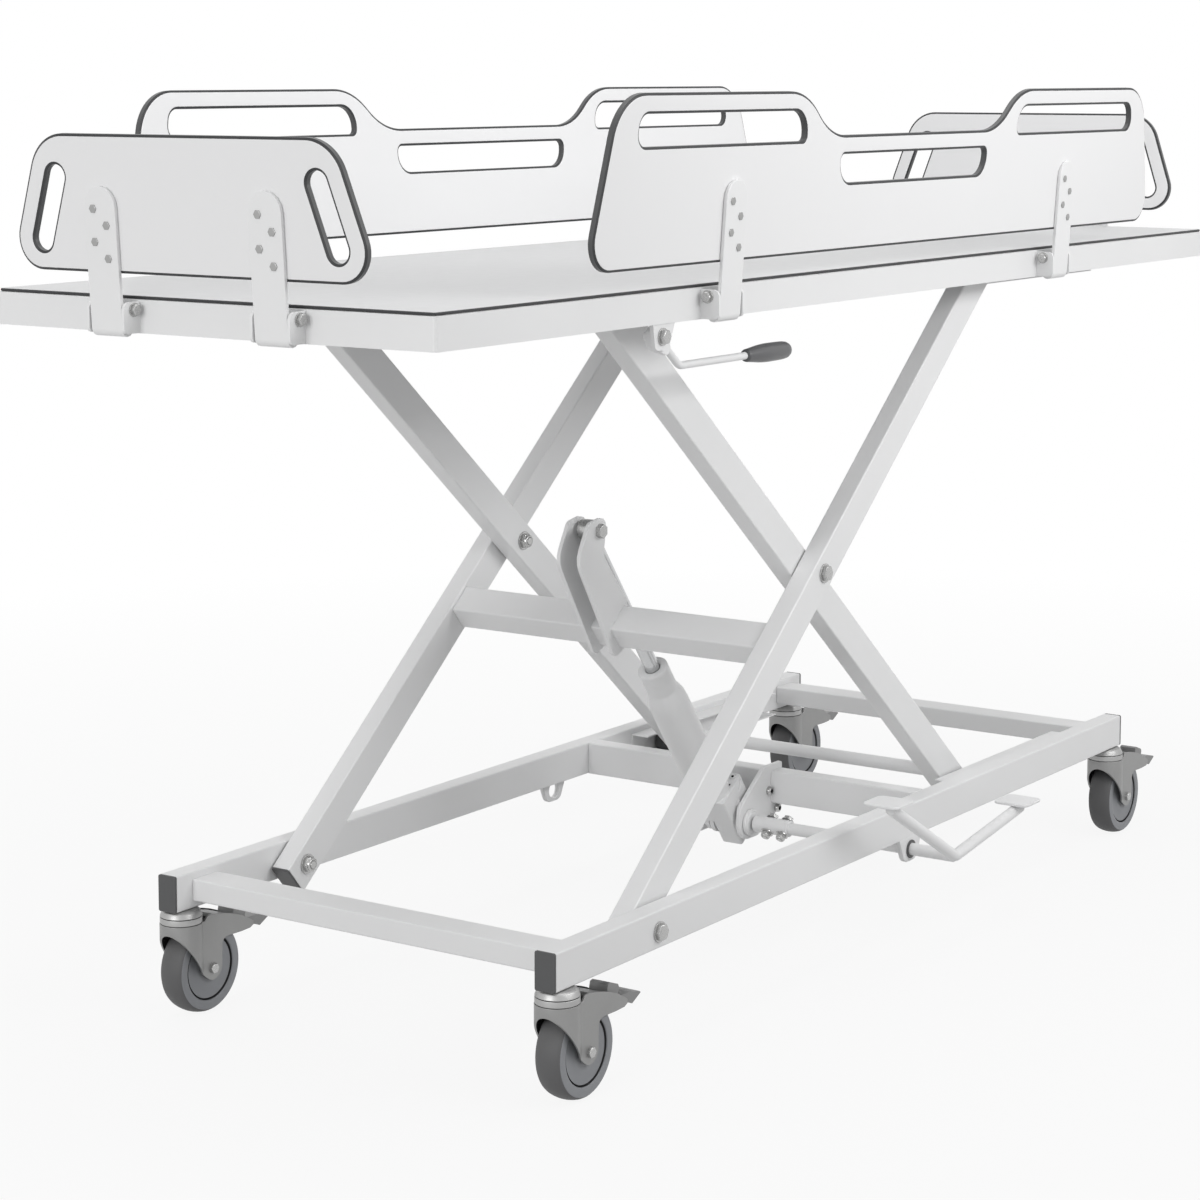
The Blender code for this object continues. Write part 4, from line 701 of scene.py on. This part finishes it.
def pivot_bolts():
    """Hexagon bolts with washers and self-locking nuts."""
    for side, sign in SIDES:
        for label, body, joint, head, nut in PIVOT_BOLTS:
            bm = bmesh.new()
            outside = pivot(joint) + Y_AXIS * sign * head
            inside = pivot(joint) + Y_AXIS * sign * nut
            rod(bm, inside, outside, PIVOT_SHANK)
            hex_bolt(bm, along(outside, Y_AXIS * sign), PIVOT_HEX, PIVOT_HEAD)
            lock_nut(bm, along(inside, -Y_AXIS * sign), PIVOT_HEX, PIVOT_NUT)
            node = f"{side}_{label}_bolt"
            piece(f"{node}_look", bm, [BRIGHT], body, [node], BOLT_EDGE)


def pump_frame():
    """Origin on the trunnion, local X across the trolley and local Z up the ram."""
    return local_frame(TRUNNION, Y_AXIS, RAM_AXIS.cross(Y_AXIS))


def pump_body():
    """Cast block with the reservoir cylinder, trunnion hubs, plugs and small teeth."""
    place = pump_frame()
    bm = bmesh.new()
    for box, level, depth in PUMP_BLOCKS:
        prism(bm, block_outline(*box, PUMP_CORNER), place @ Matrix.Translation((0, 0, level)), depth)
    lathe(bm, PUMP_BARREL, place, closed=True)
    for sign in (-1, 1):
        hub = along(TRUNNION, Y_AXIS * sign)
        lathe(bm, PUMP_HUB, hub)
        for start, radius in PUMP_RINGS:
            lathe(bm, [(0, start), (radius, start), (radius, start + RING_FLAT),
                       (radius - RING_CHAMFER, start + RING_WIDE), (0, start + RING_WIDE)], hub)
    # The plugs' sunk centres take material 1, painted shade
    for u, v, radius in PUMP_PLUGS:
        lathe(bm, [(0, 0), (radius, 0), (radius, 0.0010), (radius * 0.72, 0.0014), (radius * 0.40, 0.0014),
                   (radius * 0.36, 0.0006), (0, 0.0006)], place @ Matrix.Translation((u, v, PLUG_LEVEL)),
              [0, 0, 0, 0, 1, 1], THIN_STEPS)
    side_face = place @ Matrix(((0, 0, -1, TOOTH_FACE), (1, 0, 0, 0), (0, 1, 0, 0), (0, 0, 0, 1)))
    for low, high, near, far in PUMP_TEETH:
        prism(bm, [(near, low), (far, low), (near, high)], side_face, TOOTH_DEPTH)
    piece("pump_body_look", bm, [WHITE, PAINTED_SHADE], "pump", ["pump_body"], BLOCK_EDGE)


def piston_rod():
    """Chromed rod with the eye that takes the ram pin."""
    bm = bmesh.new()
    foot, tip = PUMP_TOP - ROD_SUNK, RAM_LENGTH - ROD_SHORT
    lathe(bm, [(0, foot), (ROD_RADIUS, foot), (ROD_RADIUS, tip), (0, tip)], pump_frame())
    lathe(bm, EYE_PROFILE, along(RAM_PIN, Y_AXIS), 1, closed=True)
    piece("piston_rod_look", bm, [CHROME, BRIGHT], "ram", ["piston_rod"], 0)


def foot_pedal():
    """Pedal with its sleeve bolts, the bush in the rail's lug and the screws of the pump's plates."""
    axle = pivot("pedal_rock")
    start, end = MIDDLE_Y - SLEEVE[0], MIDDLE_Y - SLEEVE[1]

    def on_axle(y):
        return Vector((axle.x, y, axle.z))

    bm = bmesh.new()
    rod(bm, on_axle(start - SHAFT_SUNK), axle, SHAFT_RADIUS)
    length = start - end
    lathe(bm, [(0, 0), (SLEEVE_END, 0), (SLEEVE_RADIUS, SLEEVE_CHAMFER), (SLEEVE_RADIUS, length - SLEEVE_CHAMFER),
               (SLEEVE_END, length), (0, length)], along(on_axle(start), -Y_AXIS))
    tips = []
    for reach, angle in PEDAL_ARMS:
        tips.append(axle + Vector((math.cos(math.radians(angle)), 0, math.sin(math.radians(angle)))) * reach)
    sweep(bm, rounded_path((tips[0], axle, tips[1]), PEDAL_BEND), PEDAL_BAR)
    for tip in tips:
        place = local_frame((tip.x, tip.y + FOOT_IN, tip.z + FOOT_UP), X_AXIS, Y_AXIS)
        prism(bm, block_outline(-FOOT_HALF, FOOT_HALF, -FOOT_HALF, FOOT_HALF, FOOT_CORNER), place, FOOT_THICK)
    piece("foot_pedal_look", bm, [WHITE], "pedal", ["foot_pedal"], PEDAL_EDGE)

    bm = bmesh.new()
    slant = Vector((-1, 0, -1)).normalized()
    for out in SLEEVE_BOLTS:
        centre = on_axle(MIDDLE_Y - out)
        lock_nut(bm, along(centre + slant * SLEEVE_END, slant), *SLEEVE_NUT)
        hex_bolt(bm, along(centre - slant * SLEEVE_END, -slant), *SLEEVE_HEAD)
    piece("sleeve_bolts", bm, [BRIGHT], "pedal", (), SMALL_BOLT_EDGE)

    bm = bmesh.new()
    lathe(bm, BUSH_PROFILE, along(on_axle(MIDDLE_Y - BUSH_OUT), -Y_AXIS), closed=True)
    piece("pedal_bush", bm, [DARK], "base", (), 0)

    bm = bmesh.new()
    for x, z in BRACKET_SCREWS:
        for sign in (-1, 1):
            place = along((x, MIDDLE_Y + sign * BRACKET_FACE, z), Y_AXIS * sign)
            socket_screw(bm, place, BRACKET_SCREW_RADIUS, BRACKET_SCREW_HEAD)
    # The screws' sockets take material 1, painted shade
    piece("bracket_screws", bm, [BRIGHT, PAINTED_SHADE], "base", (), 0)


def release_lever():
    """Bent lever on its eye plate, the grip, and the bolt that it turns on."""
    axle = pivot("lever_pull")
    x, y, z = axle
    bm = bmesh.new()
    plate = fillet([(x + u, z + v, radius) for u, v, radius in LEVER_PLATE], 8)
    prism(bm, plate, local_frame((0, y + LEVER_THICK / 2, 0), X_AXIS, Z_AXIS), LEVER_THICK)
    corners = [(x + u, y, z + v) for u, v in LEVER_PATH]
    sweep(bm, rounded_path(corners, LEVER_BEND), LEVER_ROD)
    piece("release_lever_look", bm, [WHITE], "lever", ["release_lever"], LEVER_EDGE)

    bm = bmesh.new()
    lathe(bm, GRIP_PROFILE, along(corners[-1], X_AXIS))
    piece("lever_grip_look", bm, [GRIP], "lever", ["lever_grip"], 0)

    bm = bmesh.new()
    hex_bolt(bm, along(axle - Y_AXIS * LEVER_BRACKET, -Y_AXIS), LEVER_BOLT_RADIUS, LEVER_BOLT_HEAD)
    piece("lever_bolt", bm, [BRIGHT], "table", (), BOLT_EDGE)


def edge_height(edge, along_x):
    """Height of a polyline of (along, height) points, read off at a place along it."""
    for (x0, z0), (x1, z1) in zip(edge, edge[1:]):
        if along_x <= x1:
            return z0 + (z1 - z0) * (along_x - x0) / (x1 - x0)
    return edge[-1][1]


def fork_path(radius, half, steps=40):
    """Plan of one face of the fork: flat cheek, round front, flat cheek."""
    seam = math.asin(half / radius)
    breaks = sorted({x for x, _ in FORK_UPPER + FORK_LOWER if x > FORK_RADIUS * math.cos(seam) + 0.001})
    turns = [seam + (2 * math.pi - 2 * seam) * k / steps for k in range(steps + 1)]
    front = [(radius * math.cos(turn), radius * math.sin(turn)) for turn in turns]
    return [(x, half) for x in reversed(breaks)] + front + [(x, -half) for x in breaks], len(breaks)


def caster_fork(name, swivel, axle):
    """Pressed fork with a round front, flat cheeks and wings, its crown plate and the axle bolt."""
    bm = bmesh.new()
    walls = []
    for half, radius in ((FORK_HALF, FORK_RADIUS), (FORK_HALF - FORK_WALL, FORK_RADIUS - FORK_WALL)):
        path, cheek = fork_path(radius, half)
        walls.append([[bm.verts.new((swivel.x + u, swivel.y + v, edge_height(edge, u)))
                       for edge in (FORK_LOWER, FORK_UPPER)] for u, v in path])
    outer, inner = walls
    for k in range(1, len(outer)):
        bm.faces.new((outer[k - 1][0], outer[k][0], outer[k][1], outer[k - 1][1]))
        # The inner walls take material 1, painted shade
        bm.faces.new((inner[k - 1][0], inner[k][0], inner[k][1], inner[k - 1][1])).material_index = 1
        for level in (0, 1):
            bm.faces.new((outer[k - 1][level], outer[k][level], inner[k][level], inner[k - 1][level]))
    for k in (0, -1):
        bm.faces.new((outer[k][0], outer[k][1], inner[k][1], inner[k][0]))
    for wall in walls:
        for k in (cheek, -1 - cheek):
            bm.edges.get(wall[k]).smooth = False
    # The crown's underside takes material 1, painted shade
    lathe(bm, CROWN, along((swivel.x, swivel.y, 0), Z_AXIS), [1, 0, 0])
    rod(bm, axle - Y_AXIS * AXLE_HALF, axle + Y_AXIS * AXLE_HALF, AXLE_RADIUS)
    for sign, height in AXLE_BOLT_HEADS:
        seat = axle + Y_AXIS * sign * (FORK_HALF - AXLE_BOLT_SUNK)
        hexagon(bm, along(seat, Y_AXIS * sign), AXLE_BOLT_RADIUS, height, 2)
    node = f"{name}_caster_fork"
    piece(f"{node}_look", bm, [ZINC, PAINTED_SHADE, BRIGHT], f"{name}_fork", [node], SHEET_EDGE)


def caster_brake(name, swivel):
    """Rocker between the fork's wings with a raised tab and a tongue for the foot."""
    bm = bmesh.new()
    for outline, half in BRAKE_PARTS:
        prism(bm, outline, local_frame((swivel.x, swivel.y + half, 0), X_AXIS, Z_AXIS), 2 * half)
    node = f"{name}_caster_brake"
    piece(f"{node}_look", bm, [BRAKE], f"{name}_brake", [node], BRAKE_EDGE)


def caster(name):
    """Head with its bearing race, wheel, fork and brake of one caster."""
    swivel, axle = pivot(f"{name}_swivel"), pivot(f"{name}_spin")
    bm = bmesh.new()
    lathe(bm, HEAD_PROFILE, along((swivel.x, swivel.y, 0), Z_AXIS), HEAD_COLOURS)
    # The head's groove is painted shade
    piece(f"{name}_caster_head_look", bm, [RACE, PAINTED_SHADE], "base", [f"{name}_caster_head"], 0)

    profile = WHEEL_SIDE + [(WHEEL_RADIUS, 0)] + [(radius, -height) for radius, height in reversed(WHEEL_SIDE)]
    colours = WHEEL_COLOURS + [1, 1] + WHEEL_COLOURS[::-1] + [0]
    bm = bmesh.new()
    lathe(bm, profile, along(axle, Y_AXIS), colours, WHEEL_STEPS, True)
    # The wheel's groove is painted shade
    piece(f"{name}_caster_wheel_look", bm, [WHEEL, TREAD, PAINTED_SHADE], f"{name}_wheel",
          [f"{name}_caster_wheel"], 0)

    caster_fork(name, swivel, axle)
    caster_brake(name, swivel)


def hinge_frame(guard):
    """Origin on the guard's hinge pin, local X along it, Y up and Z outward."""
    return local_frame(pivot(f"{guard}_guard_fold"), JOINTS[f"{guard}_guard_fold"]["axis"], Z_AXIS)


def flipped(half):
    """Other half of a symmetrical outline."""
    return [(-u, v, radius) for u, v, radius in reversed(half)]


def long_guard_outline():
    """Outline and three slots of a side guard."""
    slots = [fillet(LONG_SLOT), fillet(flipped(LONG_SLOT)), fillet(MIDDLE_SLOT + flipped(MIDDLE_SLOT))]
    return fillet(LONG_GUARD + flipped(LONG_GUARD)), slots


def end_guard_outline():
    """Outline and two slanting slots of an end guard."""
    slots = []
    for side in (-1, 1):
        low, high = (Vector((side * u, v)) for u, v in END_SLOT)
        run = (high - low).normalized() * END_SLOT_RADIUS
        out = Vector((run.y, -run.x))
        ends = (low - run - out, low - run + out, high + run + out, high + run - out)
        slots.append(fillet([(end.x, end.y, END_SLOT_RADIUS * END_SLOT_ROUND) for end in ends]))
    return fillet(END_GUARD + flipped(END_GUARD)), slots


def guard(name):
    """Guard with its two straps, their bolts, and the lock bolts on the table's ears."""
    body = f"{name}_guard"
    hinge = hinge_frame(name)
    lean = hinge @ Matrix.Rotation(math.radians(GUARD_LEAN), 4, "X")
    outline, slots = long_guard_outline() if name in ("near", "far") else end_guard_outline()
    bm = bmesh.new()
    panel(bm, outline, slots, lean @ Matrix.Translation((0, GUARD_FOOT, GUARD_BACK)), GUARD_THICK,
          CORE_CHAMFER, CORE_DEPTH)
    # The guard's flat edges take material 2, the core in painted sheen
    piece(f"{body}_look", bm, [LAMINATE, CORE, PAINTED_SHEEN_CORE], body, [body], 0)

    bm = bmesh.new()
    for label, offset in (("a", -STRAP_OFFSET[name]), ("b", STRAP_OFFSET[name])):
        refined(f"{body}_strap_{label}", BLOCK_EDGE)
        for u, v in STRAP_BOLTS:
            hexagon(bm, lean @ Matrix.Translation((offset + u, v, STRAP_FACE)), STRAP_BOLT_RADIUS,
                    STRAP_BOLT_HEAD, chamfer=STRAP_BOLT_CHAMFER)
    piece(f"{body}_strap_bolts", bm, [BOLT], body, (), SMALL_BOLT_EDGE)

    bm = bmesh.new()
    for offset in (-STRAP_OFFSET[name], STRAP_OFFSET[name]):
        centre = hinge @ Vector((offset, LOCK_BOLT_UP, -LOCK_BOLT_IN))
        axis = hinge.to_3x3() @ X_AXIS * LOCK_HEAD_SIDE[name]
        hex_bolt(bm, along(centre + axis * EAR_OUTER, axis), LOCK_BOLT_RADIUS, LOCK_BOLT_HEAD)
        lock_nut(bm, along(centre - axis * EAR_OUTER, -axis), LOCK_BOLT_RADIUS, LOCK_BOLT_NUT)
    piece(f"{body}_lock_bolts", bm, [BRIGHT], "table", (), SMALL_BOLT_EDGE)


def table():
    """Folded frame and the laminate board on it."""
    refined("table_frame", SHEET_EDGE, clamp=True)
    low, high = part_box("table_board")
    bm = bmesh.new()
    panel(bm, block_outline(low.x, high.x, low.y, high.y, BOARD_CORNER), [],
          Matrix.Translation((0, 0, low.z)), high.z - low.z, BOARD_CHAMFER)
    piece("table_board_look", bm, [BOARD, CORE, CORE], "table", ["table_board"], 0)


# Stage

def lamp(name, place, target, size, power, spread=180):
    """Rectangular area lamp turned to a target."""
    light = bpy.data.lights.new(name, "AREA")
    light.shape, light.size, light.size_y, light.energy = "RECTANGLE", *size, power
    light.spread = math.radians(spread)
    made = bpy.data.objects.new(name, light)
    made.location = place
    made.rotation_euler = (Vector(target) - Vector(place)).to_track_quat("-Z", "Y").to_euler()
    bpy.context.scene.collection.objects.link(made)


def seen_directly(nodes, links):
    """Socket that is 1 for rays from the eye, also by way of metal or glass, and 0 for light on surfaces."""
    path = nodes.new("ShaderNodeLightPath")
    total = path.outputs["Is Camera Ray"]
    for kind in ("Is Glossy Ray", "Is Transmission Ray"):
        join = nodes.new("ShaderNodeMath")
        join.operation = "MAXIMUM"
        links.new(total, join.inputs[0])
        links.new(path.outputs[kind], join.inputs[1])
        total = join.outputs["Value"]
    return total


def sky(strength):
    """Even white surroundings: white to the eye and in reflections, dimmer as a light."""
    world = bpy.data.worlds.new("studio")
    world.use_nodes = True
    nodes, links = world.node_tree.nodes, world.node_tree.links
    dim = nodes["Background"]
    dim.inputs["Color"].default_value = (1, 1, 1, 1)
    dim.inputs["Strength"].default_value = strength
    white = nodes.new("ShaderNodeBackground")
    white.inputs["Color"].default_value = (1, 1, 1, 1)
    mix = nodes.new("ShaderNodeMixShader")
    links.new(seen_directly(nodes, links), mix.inputs["Fac"])
    links.new(dim.outputs["Background"], mix.inputs[1])
    links.new(white.outputs["Background"], mix.inputs[2])
    links.new(mix.outputs["Shader"], nodes["World Output"].inputs["Surface"])
    bpy.context.scene.world = world


def floor_finish():
    """Pale matt floor that keeps the shadow near the trolley and fades to white away from it."""
    made = surface("pale_floor", (0.50, 0.50, 0.50), 0.85, mottle=0.004, bump=0.02, grain=120)
    nodes, links = made.node_tree.nodes, made.node_tree.links
    coords, distance = nodes.new("ShaderNodeTexCoord"), nodes.new("ShaderNodeVectorMath")
    distance.operation = "LENGTH"
    links.new(coords.outputs["Object"], distance.inputs[0])
    fade = nodes.new("ShaderNodeMapRange")
    fade.inputs["From Min"].default_value, fade.inputs["From Max"].default_value = FADE
    fade.inputs["To Min"].default_value = FLOOR_GLOW
    links.new(distance.outputs["Value"], fade.inputs["Value"])
    seen = nodes.new("ShaderNodeMath")
    seen.operation = "MULTIPLY"
    links.new(fade.outputs["Result"], seen.inputs[0])
    links.new(seen_directly(nodes, links), seen.inputs[1])
    glow, mix = nodes.new("ShaderNodeEmission"), nodes.new("ShaderNodeMixShader")
    glow.inputs["Color"].default_value = (1, 1, 1, 1)
    links.new(seen.outputs["Value"], mix.inputs["Fac"])
    links.new(nodes["Principled BSDF"].outputs["BSDF"], mix.inputs[1])
    links.new(glow.outputs["Emission"], mix.inputs[2])
    links.new(mix.outputs["Shader"], nodes["Material Output"].inputs["Surface"])
    return made


def floor():
    """Wide flat floor at the wheels' feet."""
    bm = bmesh.new()
    bmesh.ops.create_grid(bm, x_segments=1, y_segments=1, size=FLOOR_HALF)
    mesh = bpy.data.meshes.new("floor")
    bm.to_mesh(mesh)
    bm.free()
    mesh.materials.append(floor_finish())
    made = bpy.data.objects.new("floor", mesh)
    bpy.context.scene.collection.objects.link(made)


def camera():
    """Camera solved from the photograph, pitched down with less shift."""
    data = bpy.data.cameras.new("camera")
    data.lens, data.sensor_width, data.shift_y = LENS, SENSOR, SHIFT_Y
    made = bpy.data.objects.new("camera", data)
    yaw, pitch = math.radians(YAW), math.radians(PITCH)
    view = Vector((math.cos(yaw) * math.cos(pitch), math.sin(yaw) * math.cos(pitch), -math.sin(pitch)))
    made.location = EYE
    made.rotation_euler = view.to_track_quat("-Z", "Y").to_euler()
    bpy.context.scene.collection.objects.link(made)
    bpy.context.scene.camera = made


def stage():
    """Light, floor and camera."""
    sky(SKY_STRENGTH)
    lamp("front", (0.3, -2.5, 2.0), (0.1, 0, 1.45), (2.4, 0.8), 17.5, 110)
    lamp("left", (-5.0, 0.2, 1.6), (0, 0, 0.6), (2.0, 1.6), 62)
    lamp("top", (0, 0, 5.0), (0, 0, 0), (4.0, 3.0), 86)
    floor()
    camera()
    bpy.context.scene.view_settings.view_transform = "Standard"


frame_tubes()
pivot_bolts()
pump_body()
piston_rod()
foot_pedal()
release_lever()
for caster_name in CASTERS:
    caster(caster_name)
for guard_name in GUARDS:
    guard(guard_name)
table()
stage()
